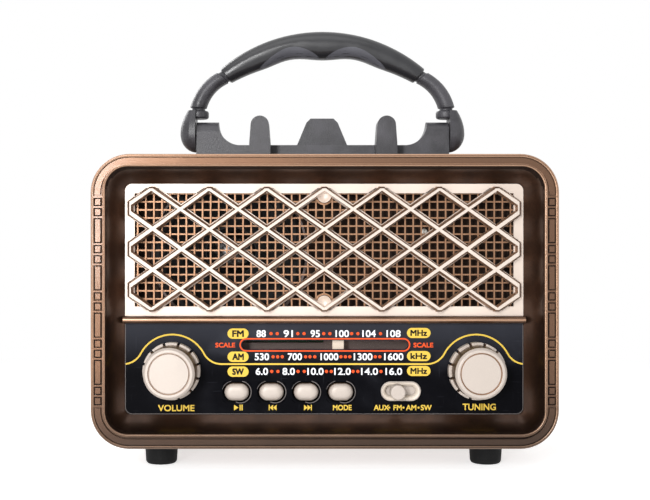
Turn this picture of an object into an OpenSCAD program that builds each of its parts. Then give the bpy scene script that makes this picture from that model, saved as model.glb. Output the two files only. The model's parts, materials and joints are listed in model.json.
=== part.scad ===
// Table radio with a diamond grille, a dial cord drive and a folding handle.
// The front faces -Y, +X is to the right and +Z is up.
// The origin is on the floor, midway between the four feet.

/* [Cabinet] */
// Width of the body over its front rim
body_w = 200; // [190:1:220]
// Height of the body over its front rim
body_h = 126; // [120:1:140]
// Depth of the body from the rim to the rear cover
body_d = 95; // [90:1:110]
// Radius of the body's corners
corner_r = 16.5; // [14:0.5:20]
// Wall of the cabinet and the covers
wall_t = 2.5; // [2:0.1:3]
// Step from the rim down to the cabinet shell
shell_step = 1; // [0.5:0.1:2]
// Length of the front frame from front to back
frame_d = 16; // [15.6:0.2:20]
// Depth of the rear cover's tray
cover_d = 12; // [11:0.5:14]
// Height of the feet
foot_h = 10; // [8:0.5:14]
// Diameter of a foot at its top
foot_dia = 15; // [12:0.5:18]
// Distance of the feet's middles from the body's sides
foot_inset = 27.7; // [20:0.1:35]
// Distance of the feet from the handle's line, front to back
foot_set = 22; // [18:0.2:22]

/* [Front frame] */
// Depth of the cove from the rim to the panels
cove_d = 12; // [10:0.5:14]
// Width of the cove's sloping wall
cove_w = 6.7; // [5:0.1:7.5]
// Distance from the body's side to the panel opening
side_band = 12.9; // [12:0.1:14]
// Distance from the body's top to the panel opening
top_band = 12.05; // [11.5:0.05:13]
// Distance from the body's bottom to the panel opening
bottom_band = 13.05; // [12.5:0.05:14]
// Radius of the opening's corners
opening_r = 3; // [2:0.5:5]
// Width of the two beads on the rim
bead_w = 1.5; // [1.2:0.1:1.8]
// Width of the grooves beside the beads and the tiles
groove_w = 0.5; // [0.4:0.1:0.7]
// Distance between the groups of rungs on the side bands
rung_group_pitch = 20.15; // [18:0.5:22]
// Distance between the rungs in a group
rung_pitch = 4.33; // [4:0.1:5]
// Height of the bar between grille and dial
divider_h = 3; // [2.5:0.1:4]
// Depth of the rim's grooves
groove_deep = 1; // [0.6:0.1:1.2]
// Height of the dial's opening under that bar
dial_h = 39.95; // [39.5:0.05:41]
// How far that bar stands out from the panels
divider_rise = 3; // [2:0.1:4]

/* [Grille] */
// Diamonds across
diamonds_x = 7; // [7:2:7]
// Width of a lattice bar on its face
bar_face = 2.15; // [1.9:0.05:2.6]
// Width of a lattice bar's bevel
bar_bevel = 0.5; // [0.3:0.05:0.8]
// Height of the lattice above its frame
bar_rise = 4.5; // [3.5:0.1:5.5]
// Width of the grille frame's border
grille_border = 4.2; // [3.8:0.1:4.6]
// Pitch of the fine mesh
mesh_pitch = 3.55; // [3.3:0.05:4]
// Width of a mesh wire
mesh_wire = 0.65; // [0.6:0.05:1]
// Diameter of the screw cups in the grille
cup_dia = 6; // [5:0.5:7]

/* [Loudspeaker] */
// Distance of the loudspeaker's middle from the opening's left edge
speaker_inset = 45.1; // [43:0.1:48]
// Distance of the loudspeaker's middle from the opening's top
speaker_drop = 29.95; // [29:0.05:31]
// Diameter of the baffle's speaker opening
speaker_hole = 70; // [64:1:72]
// Diameter of the loudspeaker's basket
basket_dia = 76; // [74:1:76]
// Depth of the basket
basket_d = 20; // [17:0.5:24]
// Diameter of the magnet
magnet_dia = 45; // [40:1:50]
// Thickness of the magnet
magnet_t = 12; // [9:0.5:14]

/* [Dial] */
// Thickness of the dial panel
panel_t = 2; // [1.6:0.1:2.5]
// Length of the scale's slot
slot_len = 72.5; // [66:0.5:74]
// Height of the scale's slot
slot_h = 3.9; // [3.4:0.1:4.4]
// Middle of the slot, above the dial's lower edge
slot_rise = 30.45; // [30:0.05:31]
// Rest place of the pointer
pointer_x = 6.2; // [4:0.1:8]
// Width of the pointer
pointer_w = 5; // [4:0.1:5.5]
// Distance of the knobs' middles from the opening's sides
knob_inset = 20.8; // [20:0.1:22]
// Height of the knobs above the dial's lower edge
knob_rise = 19.35; // [19:0.05:20]
// Diameter of a knob's base ring
knob_dia = 24.9; // [22:0.1:26]
// Diameter of a knob's cap
cap_dia = 22.9; // [20:0.1:24]
// Height of a knob above the panel
knob_h = 15.5; // [13:0.5:18]
// Lugs round a knob's base ring
knob_lugs = 12; // [8:1:14]
// Diameter of the knob shafts
shaft_dia = 6; // [5:0.1:6.5]
// Distance between the push buttons
button_pitch = 15.15; // [15.1:0.05:16]
// Width of a push button
button_w = 10.8; // [9.6:0.1:11]
// Height of a push button
button_h = 7.6; // [7:0.1:8]
// Height of the button row above the dial's lower edge
button_rise = 9.85; // [9.5:0.05:10.5]
// Place of the row's last button
button_last_x = 7.25; // [6:0.25:8]
// Gap round a push button
button_gap = 1; // [0.6:0.1:1.1]
// Travel of a push button
button_travel = 1; // [0.6:0.1:1.2]
// Place of the band switch
switch_x = 33.5; // [33:0.1:34]
// Length of the band switch's dish
switch_w = 17.8; // [17:0.1:18.4]
// Height of the band switch's dish
switch_h = 8.9; // [8.4:0.1:9.2]
// Distance between the band switch's positions
band_step = 3.3; // [3:0.1:3.5]

/* [Cord drive] */
// Radius of the dial cord round the drum
drum_r = 18; // [16:0.1:18.2]
// Radius of the dial cord round a pulley
pulley_r = 2; // [1.8:0.1:2.2]
// Diameter of the dial cord
cord_dia = 0.7; // [0.5:0.1:0.8]
// Distance from the tuning shaft to the idler's pin
idler_gap = 25.3; // [25:0.1:26]
// Diameter of the pointer's rail
rail_dia = 2; // [1.5:0.1:2.4]

/* [Handle] */
// Height of the handle's pivot above the body's top
pivot_rise = 12.5; // [12:0.5:15]
// Half width of the handle over its hubs
handle_half_w = 66; // [64:0.5:68]
// Height of the grip's top above the pivot
grip_rise = 47.7; // [46:0.1:50]
// Outer radius of the grip's arch
grip_arch_r = 73.5; // [70:0.5:78]
// Depth of the grip, front to back
grip_d = 14; // [12:0.5:16]
// Thickness of a hub across the handle
hub_t = 7.4; // [6.5:0.1:8]
// Radius of the handle's pivot pins
pin_r = 2; // [1.5:0.1:2.5]
// Width of a handle post
post_w = 10.1; // [9:0.1:11]
// Depth of the handle base
base_d = 34; // [28:1:40]
// Width of a phone rest fin
fin_w = 9.5; // [8:0.1:11]
// Distance of the fins from the middle
fin_x = 28.6; // [26:0.1:30]
// Width of the phone slot, front to back
phone_gap = 12; // [10:0.5:13]

/* [Antenna] */
// Diameter of the antenna's outer tube
antenna_dia = 7; // [6:0.1:7.4]
// Length of an antenna tube
antenna_len = 150; // [120:1:154]
// Travel of each antenna tube
antenna_travel = 120; // [80:1:125]

/* [Hidden] */
$fn = 64;
eps = 0.01;
run_gap = 0.05;
loose_gap = 0.3;
half_w = body_w / 2;
mid_z = foot_h + body_h / 2;
// The knobs stand out of the front, so the body moves back to keep the whole centred.
front_y = -(body_d - knob_h + cove_d) / 2;
back_y = front_y + body_d;
ledge_w = 2.3;
rung_t = 0.75;
rung_gap = 0.55;
opening_w = body_w - 2 * side_band;
opening_top = body_h / 2 - top_band;
opening_bottom = bottom_band - body_h / 2;
opening_h = opening_top - opening_bottom;
opening_lift = (opening_top + opening_bottom) / 2;
divider_z = opening_bottom + dial_h + divider_h / 2;
slot_z = opening_bottom + slot_rise;
knob_x = opening_w / 2 - knob_inset;
knob_z = opening_bottom + knob_rise;
button_z = opening_bottom + button_rise;
speaker_x = opening_w / 2 - speaker_inset;
speaker_z = opening_top - speaker_drop;
idler_x = knob_x - idler_gap;
left_pulley_x = -idler_x - 1;
pivot_z = body_h / 2 + pivot_rise;
foot_span = body_w - 2 * foot_inset;
divider_top = divider_z + divider_h / 2;
divider_bottom = divider_z - divider_h / 2;
shell_w = body_w - 2 * shell_step;
shell_h = body_h - 2 * shell_step;
shell_r = corner_r - shell_step;
cover_front = back_y - cover_d;
shell_front = front_y + frame_d;
fit = 0.15;
button_x0 = button_last_x - 3 * button_pitch;
pivot_abs = mid_z + pivot_z;

// Places a drawing of the front, seen from the viewer, at a depth behind the rim.
module on_front(depth) {
    translate([0, front_y + depth, mid_z])
        rotate([90, 0, 0]) children();
}

// A plate between two depths behind the rim.
module slab(near, far) {
    on_front(far) linear_extrude(far - near) children();
}

module rounded_rect(w, h, r) {
    square([w - 2 * r, h], center = true);
    square([w, h - 2 * r], center = true);
    for (x = [-1, 1], y = [-1, 1])
        translate([x * (w / 2 - r), y * (h / 2 - r)]) circle(r);
}

module stadium(w, h) {
    square([w - h, h], center = true);
    for (x = [-1, 1])
        translate([x * (w - h) / 2, 0]) circle(d = h);
}

// Carries a profile (outward, upward) round a rectangle with rounded corners.
module swept_round(w, h, r) {
    for (x = [0, 1]) mirror([x, 0, 0])
        translate([w / 2, h / 2 - r, 0])
            rotate([90, 0, 0]) linear_extrude(h - 2 * r) children();
    for (y = [0, 1]) mirror([0, y, 0])
        translate([r - w / 2, h / 2, 0])
            rotate([90, 0, 90]) linear_extrude(w - 2 * r) children();
    for (x = [0, 1], y = [0, 1]) mirror([x, 0, 0]) mirror([0, y, 0])
        translate([w / 2 - r, h / 2 - r, 0])
            rotate_extrude(angle = 90) translate([r, 0]) children();
}

// A closed skin over rings of points, each ring with the same count.
module skin(rings) {
    n = len(rings[0]);
    last = len(rings) - 1;
    sides = [for (i = [0 : last - 1], j = [0 : n - 1]) each [
        [i * n + j, (i + 1) * n + (j + 1) % n, i * n + (j + 1) % n],
        [i * n + j, (i + 1) * n + j, (i + 1) * n + (j + 1) % n]
    ]];
    ends = [[for (j = [0 : n - 1]) j], [for (j = [n - 1 : -1 : 0]) last * n + j]];
    polyhedron([for (ring = rings) each ring], concat(sides, ends));
}

// Front frame
module frame_edge_profile() {
    // The rim from its outer edge inward, drawn outward from its path.
    reach = side_band - cove_w - bead_w - groove_w;
    translate([-reach, -frame_d]) square([reach, frame_d - groove_deep]);
    translate([-reach, -2 * groove_deep]) square([reach - bead_w - groove_w, 2 * groove_deep]);
    translate([-bead_w / 2, -bead_w / 2]) circle(d = bead_w);
    translate([-bead_w, -2 * bead_w]) square([bead_w, 1.5 * bead_w]);
}

module frame_cove_profile() {
    // The cove and the inner bead, drawn outward from the panel opening.
    outer = cove_w + bead_w + groove_w;
    difference() {
        translate([0, -frame_d]) square([outer, frame_d - groove_deep]);
        translate([0, -cove_d]) cove_space();
    }
    translate([cove_w + bead_w / 2, -bead_w / 2]) circle(d = bead_w);
    translate([cove_w, -2 * bead_w]) square([bead_w, 1.5 * bead_w]);
}

// The space in front of the cove's hollow wall: a wedge with a round belly.
module cove_space() {
    chord = norm([cove_w, cove_d]);
    belly_r = 0.95 * chord;
    mid = [cove_w / 2, cove_d / 2];
    away = [-cove_d, cove_w] / chord;
    reach = sqrt(belly_r * belly_r - chord * chord / 4);
    polygon([[-1, 0], [0, 0], [cove_w, cove_d], [cove_w, cove_d + 1], [-1, cove_d + 1]]);
    intersection() {
        translate(mid + away * reach) circle(belly_r);
        polygon([[0, 0], [cove_w + eps, 0], [cove_w + eps, cove_d + eps], [cove_w, cove_d]]);
    }
}

// Places a drawing at each rung of the side bands, which come in groups of three.
module at_rungs() {
    band = side_band - cove_w - 2 * bead_w;
    for (side = [-1, 1], group = [-2 : 2], rung = [-1 : 1])
        translate([side * (half_w - bead_w - band / 2), group * rung_group_pitch + rung * rung_pitch, -groove_deep])
            linear_extrude(2 * groove_deep) children();
}

module ladder_cuts() {
    // The gap between two tiles.
    at_rungs() square([side_band - cove_w - 2 * bead_w, 2 * rung_gap + rung_t], center = true);
}

module ladder_rungs() {
    // A rung stands in each gap and reaches from bead to bead.
    intersection() {
        at_rungs() square([side_band - cove_w - bead_w, rung_t], center = true);
        translate([-body_w, -body_h, -2 * groove_deep]) cube([2 * body_w, 2 * body_h, 2 * groove_deep - 0.15]);
    }
}

module front_frame() {
    color("saddlebrown") on_front(0) {
        difference() {
            union() {
                swept_round(body_w, body_h, corner_r) frame_edge_profile();
                translate([0, opening_lift, 0])
                    swept_round(opening_w, opening_h, opening_r) frame_cove_profile();
            }
            ladder_cuts();
        }
        ladder_rungs();
        frame_ledge();
        divider_bar();
    }
}

module frame_ledge() {
    // A ledge behind the panels, which it carries along their edges.
    translate([0, opening_lift, -cove_d - panel_t - 1.5]) linear_extrude(1.5)
        difference() {
            rounded_rect(opening_w + 1, opening_h + 1, opening_r + 0.5);
            rounded_rect(opening_w - 2 * ledge_w, opening_h - 2 * ledge_w, 1);
        }
}

module divider_bar() {
    bar_len = opening_w + 1;
    translate([-bar_len / 2, divider_z, -cove_d]) rotate([90, 0, 90])
        linear_extrude(bar_len) {
            translate([0, divider_rise - divider_h / 2]) circle(d = divider_h);
            translate([-divider_h / 2, -panel_t - 1.5])
                square([divider_h, divider_rise + panel_t + 1.5 - divider_h / 2]);
        }
}

// Cabinet
screw_x = shell_w / 2 - 9;
screw_z = shell_h / 2 - 9;
boss_dia = 7;
screw_dia = 2.6;

module at_corners() {
    for (x = [-1, 1], z = [-1, 1])
        translate([x * screw_x, z * screw_z]) children();
}

module shell_ring(inset) {
    rounded_rect(shell_w - 2 * inset, shell_h - 2 * inset, shell_r - inset);
}

module cabinet_shell() {
    color("sienna") {
        difference() {
            union() {
                slab(frame_d, body_d - cover_d) difference() {
                    shell_ring(0);
                    shell_ring(wall_t);
                }
                // Four long bosses carry the cover's screws.
                slab(body_d - cover_d - 30, body_d - cover_d)
                    intersection() {
                        at_corners() circle(d = boss_dia + 4);
                        shell_ring(eps);
                    }
            }
            slab(body_d - cover_d - 25, body_d) at_corners() circle(d = screw_dia - 0.1);
            // Holes for the handle base's screws.
            for (x = [-1, 1])
                translate([x * base_screw_x, 0, mid_z]) cylinder(d = 3.2, h = body_h);
            // Holes for the feet's screws.
            for (x = [-1, 1], y = [-1, 1])
                translate([x * foot_span / 2, y * foot_set, 0]) cylinder(d = 3.2, h = mid_z);
        }
    }
}

module foot() {
    taper = 0.6;
    difference() {
        union() {
            translate([0, 0, 1]) cylinder(r1 = foot_dia / 2 - taper, r2 = foot_dia / 2, h = foot_h);
            cylinder(r1 = foot_dia / 2 - taper - 0.8, r2 = foot_dia / 2 - taper, h = 1);
        }
        translate([0, 0, -eps]) cylinder(d = 6.5, h = 3);
        cylinder(d = 3.2, h = 2 * foot_h);
    }
}

module feet() {
    color("black")
        for (x = [-1, 1], y = [-1, 1])
            translate([x * foot_span / 2, y * foot_set, shell_step - 1]) foot();
}

module foot_screws() {
    color("silver")
        for (x = [-1, 1], y = [-1, 1])
            translate([x * foot_span / 2, y * foot_set, 1]) {
                cylinder(d = 5.6, h = 2 - run_gap);
                cylinder(d = 2.9, h = foot_h + 6);
            }
}

// Rear cover with its battery bay
bay_w = 66;
bay_h = 24;
bay_x = 61 - shell_w / 2;
bay_z = 26 - shell_h / 2;
bay_d = 21;
socket_x = shell_w / 2 - 47;
rebate_h = 14;
rebate_d = 9.5;
rebate_bottom = shell_h / 2 - rebate_h;

module at_bay() {
    translate([bay_x, bay_z]) children();
}

module rebate_area(inset) {
    translate([0, rebate_bottom - inset + shell_h / 2]) square([shell_w + 2, shell_h], center = true);
}

module cover_face_cuts() {
    // Sound slots behind the loudspeaker, in a round field.
    slots = 9;
    for (i = [0 : slots - 1]) {
        row = (i - (slots - 1) / 2) * 5;
        reach = sqrt(26 * 26 - row * row);
        translate([speaker_x, speaker_z - 4 + row]) stadium(2 * reach, 2.2);
    }
    at_bay() square([bay_w, bay_h], center = true);
    translate([socket_x, bay_z]) square([50, 18], center = true);
}

module rear_cover() {
    color("saddlebrown") {
        difference() {
            slab(body_d - cover_d, body_d) shell_ring(0);
            slab(body_d - cover_d - 1, body_d - wall_t) difference() {
                shell_ring(wall_t);
                rebate_area(wall_t);
            }
            slab(body_d - cover_d - 1, body_d - rebate_d - wall_t) shell_ring(wall_t);
            slab(body_d - rebate_d, body_d + 1) rebate_area(0);
            slab(body_d - cover_d - 1, body_d + 1) {
                cover_face_cuts();
                at_corners() circle(d = 3);
            }
            slab(body_d - rebate_d - wall_t - 1, body_d + 1) at_corners() circle(d = 3);
            slab(body_d - 2.4, body_d + 1) at_corners() circle(d = 6.2);
            antenna_seat_hole();
            door_roll(0.75 + run_gap, bay_w + 4);
        }
        difference() {
            bay_box();
            door_roll(0.75 + run_gap, bay_w + 4);
        }
        socket_frame();
        cover_bosses();
    }
}

module cover_bosses() {
    // Pillars from the cover's lower corners to the cabinet's bosses.
    slab(body_d - cover_d, body_d - wall_t + eps) difference() {
        for (x = [-1, 1])
            translate([x * screw_x, -screw_z]) circle(d = boss_dia);
        at_corners() circle(d = 3);
    }
}

module bay_box() {
    at_d = body_d - bay_d;
    slab(at_d, body_d - wall_t + eps) at_bay() difference() {
        square([bay_w + 2 * wall_t, bay_h + 2 * wall_t], center = true);
        square([bay_w, bay_h], center = true);
    }
    slab(at_d - wall_t, at_d + eps) at_bay()
        square([bay_w + 2 * wall_t, bay_h + 2 * wall_t], center = true);
    // A lip along the top that stops the closed door.
    slab(body_d - door_t - 1.2, body_d - door_t - run_gap) at_bay()
        translate([0, bay_h / 2 - 0.6]) square([bay_w, 1.3], center = true);
}

door_t = 2;
door_gap = 0.3;
door_axis_depth = body_d - door_t / 2;
door_axis_z = bay_z - bay_h / 2 + door_gap + door_t / 2;

module battery_door() {
    door_w = bay_w - 2 * door_gap;
    pin_len = 1.2;
    color("saddlebrown") {
        difference() {
            slab(body_d - door_t, body_d)
                translate([bay_x - door_w / 2, door_axis_z])
                    square([door_w, bay_z + bay_h / 2 - door_gap - door_axis_z]);
            // Three thumb grooves near the free edge.
            for (i = [0 : 2])
                slab(body_d - 0.6, body_d + 1)
                    translate([bay_x, bay_z + bay_h / 2 - 4 - i * 2.6]) square([14, 1.2], center = true);
        }
        door_roll(door_t / 2, door_w);
        door_roll(0.75, door_w + 2 * pin_len);
    }
}

module door_roll(r, len) {
    on_front(door_axis_depth) translate([bay_x, door_axis_z, 0]) rotate([0, 90, 0])
        cylinder(r = r, h = len, center = true);
}

// A lithium cell lies in the bay on two contact plates.
cell_dia = 18;
cell_len = 58;
cell_depth = body_d - bay_d + cell_dia / 2 + 0.5;

module battery_cell() {
    color("steelblue") on_front(cell_depth) at_bay() rotate([0, 90, 0]) {
        translate([0, 0, -cell_len / 2]) cylinder(d = cell_dia, h = cell_len);
        translate([0, 0, cell_len / 2 - eps]) cylinder(d = 6, h = 1);
    }
}

module battery_contacts() {
    plate_t = 0.5;
    color("silver") for (x = [-1, 1])
        slab(body_d - bay_d + 1, body_d - bay_d + 14) at_bay() {
            translate([x * (bay_w / 2 - 0.1 - plate_t / 2), 0]) square([plate_t, 14], center = true);
            gap = bay_w / 2 - cell_len / 2 - (x > 0 ? 1.05 : 0.05) - 0.1;
            translate([x * (bay_w / 2 - 0.1 - gap / 2), 0]) square([gap, 3], center = true);
        }
}

module socket_frame() {
    // A recessed plate that holds the sockets.
    slab(body_d - 6, body_d - wall_t + eps) translate([socket_x, bay_z]) difference() {
        square([50 + 2 * wall_t, 18 + 2 * wall_t], center = true);
        square([50, 18], center = true);
    }
    slab(body_d - 8, body_d - 6 + eps) translate([socket_x, bay_z]) difference() {
        square([50 + 2 * wall_t, 18 + 2 * wall_t], center = true);
        translate([-16, 0]) square([13.4, 6.2], center = true);
        translate([1, 0]) square([9.4, 4.2], center = true);
        translate([0, -6.2]) square([13, 2.2], center = true);
        translate([15, 0]) circle(d = 7.2);
    }
}

module socket_block(x, z, w, h, hole_w, hole_h, deep) {
    translate([socket_x + x, 0, 0]) difference() {
        slab(body_d - 8 - deep, body_d - 6) translate([0, bay_z + z]) square([w, h], center = true);
        slab(body_d - 6 - deep, body_d) translate([0, bay_z + z]) square([hole_w, hole_h], center = true);
    }
}

module usb_sockets() {
    color("silver") {
        // The wide one with its tongue, the small charging one and the card slot.
        socket_block(-16, 0, 13, 5.8, 12.2, 5, 10);
        slab(body_d - 15, body_d - 6.6)
            translate([socket_x - 16, bay_z + 0.7]) square([11, 1.9], center = true);
        slab(body_d - 17.5, body_d - 15)
            translate([socket_x - 16, bay_z]) square([11, 4], center = true);
        socket_block(1, 0, 9, 3.8, 7.8, 2.8, 6);
        socket_block(0, -6.2, 12.6, 1.8, 11.4, 1, 10);
    }
}

module aux_socket() {
    color("black") difference() {
        union() {
            slab(body_d - 8, body_d - 5) translate([socket_x + 15, bay_z]) circle(d = 6.9);
            slab(body_d - 20, body_d - 8.1) translate([socket_x + 15, bay_z]) square(9, center = true);
            slab(body_d - 8.2, body_d - 7.9) translate([socket_x + 15, bay_z]) circle(d = 6.9);
        }
        slab(body_d - 19, body_d) translate([socket_x + 15, bay_z]) circle(d = 3.6);
    }
}

module case_screws() {
    color("silver") {
        for (x = [-1, 1]) {
            slab(body_d - 2.4, body_d - 0.8) translate([x * screw_x, -screw_z]) circle(d = 5.6);
            slab(body_d - cover_d - 10, body_d - 2.4) translate([x * screw_x, -screw_z]) circle(d = 2.5);
            slab(body_d - rebate_d, body_d - rebate_d + 1.2) translate([x * screw_x, screw_z]) circle(d = 5.6);
            slab(body_d - cover_d - 12, body_d - rebate_d + eps)
                translate([x * screw_x, screw_z]) circle(d = 2.5);
        }
    }
}

// Grille
grille_top = opening_top - fit;
grille_bottom = divider_top + fit;
grille_h = grille_top - grille_bottom;
grille_mid = (grille_top + grille_bottom) / 2;
grille_w = opening_w - 2 * fit;
grille_t = 1.6;
diamonds_z = 3;
lattice_half_h = grille_h / 2 - 2.12;
lattice_half_w = opening_w / 2 + 0.4;
diamond_w = 2 * lattice_half_w / diamonds_x;
diamond_h = 2 * lattice_half_h / diamonds_z;
tip_trim_z = 0.5;
tip_trim_x = 2.1;
cap_bar = 0.9;

module bar(from, to) {
    // A lattice bar with a flat face and two bevels, from one knot to another.
    run = to - from;
    foot_w = bar_face + 2 * bar_bevel;
    translate([from[0], from[1], 0]) rotate([90, 0, atan2(run[1], run[0]) + 90])
        translate([0, 0, -foot_w / 2]) linear_extrude(norm(run) + foot_w)
            polygon([
                [-foot_w / 2, -0.5], [foot_w / 2, -0.5], [foot_w / 2, 0],
                [bar_face / 2, bar_rise], [-bar_face / 2, bar_rise], [-foot_w / 2, 0]
            ]);
}

module bevelled_block(w, h) {
    // A block whose four sides lean inward like the bars' bevels.
    lean = bar_bevel;
    intersection() {
        rotate([90, 0, 0]) linear_extrude(2 * h, center = true) polygon([
            [-w / 2, -1], [w / 2, -1], [w / 2, 0],
            [w / 2 - lean, bar_rise], [lean - w / 2, bar_rise], [-w / 2, 0]
        ]);
        rotate([90, 0, 90]) linear_extrude(2 * w, center = true) polygon([
            [-h / 2, -1], [h / 2, -1], [h / 2, 0],
            [h / 2 - lean, bar_rise], [lean - h / 2, bar_rise], [-h / 2, 0]
        ]);
    }
}

module lattice_bars() {
    half_x = diamond_w / 2;
    half_z = diamond_h / 2;
    for (side = [-1, 1]) mirror([side > 0 ? 0 : 1, 0, 0]) {
        // Bars that start on the left edge and rise to the right.
        for (row = [-1 : 1]) {
            steps = (diamonds_z - 1) / 2 - row + 0.5;
            bar([-lattice_half_w, row * diamond_h], [-lattice_half_w + 2 * steps * half_x, lattice_half_h]);
        }
        // Bars that start on the bottom edge.
        for (i = [0 : diamonds_x - 1]) {
            x0 = -lattice_half_w + half_x + i * diamond_w;
            steps = min(2 * diamonds_z, 2 * (diamonds_x - 1 - i) + 1);
            bar([x0, -lattice_half_h], [x0 + steps * half_x, -lattice_half_h + steps * half_z]);
        }
    }
}

module lattice_caps() {
    // Short bars that close the trimmed tips.
    cap_len = 4;
    top_z = lattice_half_h - tip_trim_z - cap_bar / 2;
    side_x = lattice_half_w - tip_trim_x - cap_bar / 2;
    for (z = [-1, 1], i = [0 : diamonds_x - 1])
        translate([-lattice_half_w + (i + 0.5) * diamond_w, z * top_z, bar_rise / 2])
            cube([cap_len, cap_bar, bar_rise], center = true);
    for (x = [-1, 1], row = [-1 : 1])
        translate([x * side_x, row * diamond_h, bar_rise / 2])
            cube([cap_bar, cap_len, bar_rise], center = true);
}

lattice_z = grille_mid + 0.32;

module grille_lattice() {
    trim_w = 2 * (lattice_half_w - tip_trim_x + bar_bevel);
    trim_h = 2 * (lattice_half_h - tip_trim_z + bar_bevel);
    color("antiquewhite") {
        slab(cove_d, cove_d + grille_t) difference() {
            translate([0, grille_mid]) grille_plate(grille_w, grille_h);
            translate([0, grille_mid])
                square([grille_w - 2 * grille_border, grille_h - 2 * grille_border + 0.2], center = true);
        }
        on_front(cove_d) translate([0, lattice_z, 0]) {
            intersection() {
                union() {
                    lattice_bars();
                    lattice_caps();
                }
                bevelled_block(trim_w, trim_h);
            }
            screw_cups();
        }
    }
}

module grille_plate(w, h) {
    difference() {
        square([w, h], center = true);
        for (x = [-1, 1]) translate([x * (w / 2 - opening_r), h / 2 - opening_r])
            difference() {
                translate([x > 0 ? 0 : -opening_r - 1, 0]) square(opening_r + 1);
                circle(opening_r);
            }
    }
}

cup_z = lattice_half_h - 3.4;
cup_screw_dia = 2;

module screw_cups() {
    boss_back = cove_d - baffle_front;
    for (z = [-1, 1]) translate([0, z * cup_z, 0]) difference() {
        union() {
            translate([0, 0, -grille_t]) cylinder(d = cup_dia, h = grille_t + 1.2);
            translate([0, 0, boss_back]) cylinder(d = cup_dia - 1, h = -boss_back);
        }
        translate([0, 0, 3.4]) sphere(3.6);
        translate([0, 0, boss_back - 1]) cylinder(d = cup_screw_dia + 2 * run_gap, h = 0.2 - boss_back);
    }
}

module grille_screws() {
    head_h = 1.4;
    color("silver") for (z = [-1, 1])
        on_front(baffle_back) translate([0, lattice_z + z * cup_z, 0]) {
            translate([0, 0, -head_h]) cylinder(d = 1.9 * cup_screw_dia, h = head_h);
            cylinder(d = cup_screw_dia, h = baffle_back - cove_d - 1);
        }
}

// Mesh
mesh_front = cove_d + grille_t + 0.05;
mesh_w = opening_w - 2 * ledge_w - 2 * loose_gap;
mesh_top = opening_top - ledge_w - loose_gap;
mesh_bottom = grille_bottom + 2;
mesh_rim = 1;

module speaker_mesh() {
    columns = floor((mesh_w - 2 * mesh_rim) / mesh_pitch / 2);
    mesh_h = mesh_top - mesh_bottom;
    mesh_mid = (mesh_top + mesh_bottom) / 2;
    rows = floor((mesh_h - 2 * mesh_rim) / mesh_pitch / 2);
    layer = mesh_wire;
    color("peru") {
        slab(mesh_front, mesh_front + 2 * layer + 0.1) difference() {
            translate([0, mesh_mid]) square([mesh_w, mesh_h], center = true);
            translate([0, mesh_mid])
                square([mesh_w - 2 * mesh_rim, mesh_h - 2 * mesh_rim], center = true);
            for (z = [-1, 1]) translate([0, lattice_z + z * cup_z]) circle(d = cup_dia + 0.4);
        }
        // Rings round the screw cups hold the cut wires.
        slab(mesh_front, mesh_front + 2 * layer + 0.1) for (z = [-1, 1])
            translate([0, lattice_z + z * cup_z]) difference() {
                intersection() {
                    circle(d = cup_dia + 2);
                    translate([0, -z * 2]) square(cup_dia + 4, center = true);
                }
                circle(d = cup_dia + 0.4);
            }
        slab(mesh_front, mesh_front + layer) difference() {
            for (i = [-columns : columns])
                translate([i * mesh_pitch, mesh_mid])
                    square([mesh_wire, mesh_h - mesh_rim], center = true);
            for (z = [-1, 1]) translate([0, lattice_z + z * cup_z]) circle(d = cup_dia + 0.4);
        }
        slab(mesh_front + layer + 0.1, mesh_front + 2 * layer + 0.1) difference() {
            for (i = [-rows : rows])
                translate([0, mesh_mid + i * mesh_pitch])
                    square([mesh_w - mesh_rim, mesh_wire], center = true);
            for (z = [-1, 1]) translate([0, lattice_z + z * cup_z]) circle(d = cup_dia + 0.4);
        }
    }
}

// Baffle and loudspeaker
baffle_front = 21;
baffle_t = 1.9;
baffle_back = baffle_front + baffle_t;
led_x = opening_w / 2 - 42.4;
led_z = lattice_z + 7.6;

module at_speaker() {
    translate([-speaker_x, speaker_z]) children();
}

module baffle_outline() {
    // A rectangle behind the grille with a round lobe under the loudspeaker.
    low = divider_bottom;
    high = opening_top + 7.5;
    width = shell_w - 2 * wall_t - 24;
    translate([-width / 2, low]) square([width, high - low]);
    at_speaker() circle(d = basket_dia + 1);
}

module baffle_board() {
    spacer_x = opening_w / 2 - 4;
    color("saddlebrown") {
        slab(baffle_front, baffle_back) difference() {
            baffle_outline();
            at_speaker() circle(d = speaker_hole);
            translate([led_x, led_z]) circle(d = 3.2);
            for (z = [-1, 1]) translate([0, lattice_z + z * cup_z]) circle(d = cup_screw_dia + 2 * run_gap);
        }
        rod_clips();
        // Spacers between the mesh and the board along its edges.
        for (x = [-1, 1])
            slab(mesh_front + 2 * mesh_wire + 0.1, baffle_front + eps)
                translate([x * spacer_x, grille_mid]) square([2, grille_h - 6], center = true);
    }
}

module speaker_basket() {
    back = baffle_back + 2;
    wall = 1;
    color("dimgray") difference() {
        union() {
            slab(baffle_back, back) at_speaker() circle(d = basket_dia);
            on_front(back) at_speaker() mirror([0, 0, 1])
                cylinder(d1 = speaker_hole + 1, d2 = magnet_dia - 4, h = basket_d);
        }
        on_front(back) at_speaker() mirror([0, 0, 1]) {
            translate([0, 0, -2 - eps]) cylinder(d = speaker_hole - 2 * wall, h = 2 + 2 * eps);
            cylinder(d1 = speaker_hole - 2 * wall, d2 = magnet_dia - 4 - 2 * wall, h = basket_d - 1.5);
            for (i = [0 : 3]) rotate(45 + i * 90) translate([0, -7, 4])
                cube([50, 14, basket_d - 7]);
        }
        on_front(back + basket_d + 1) at_speaker() cylinder(d = 14, h = 8);
    }
}

module speaker_magnet() {
    back = baffle_back + 2 + basket_d;
    color("silver") difference() {
        slab(back, back + magnet_t) at_speaker() circle(d = magnet_dia);
        slab(back - 1, back + magnet_t - 3) at_speaker() circle(d = 14);
    }
}

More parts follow.
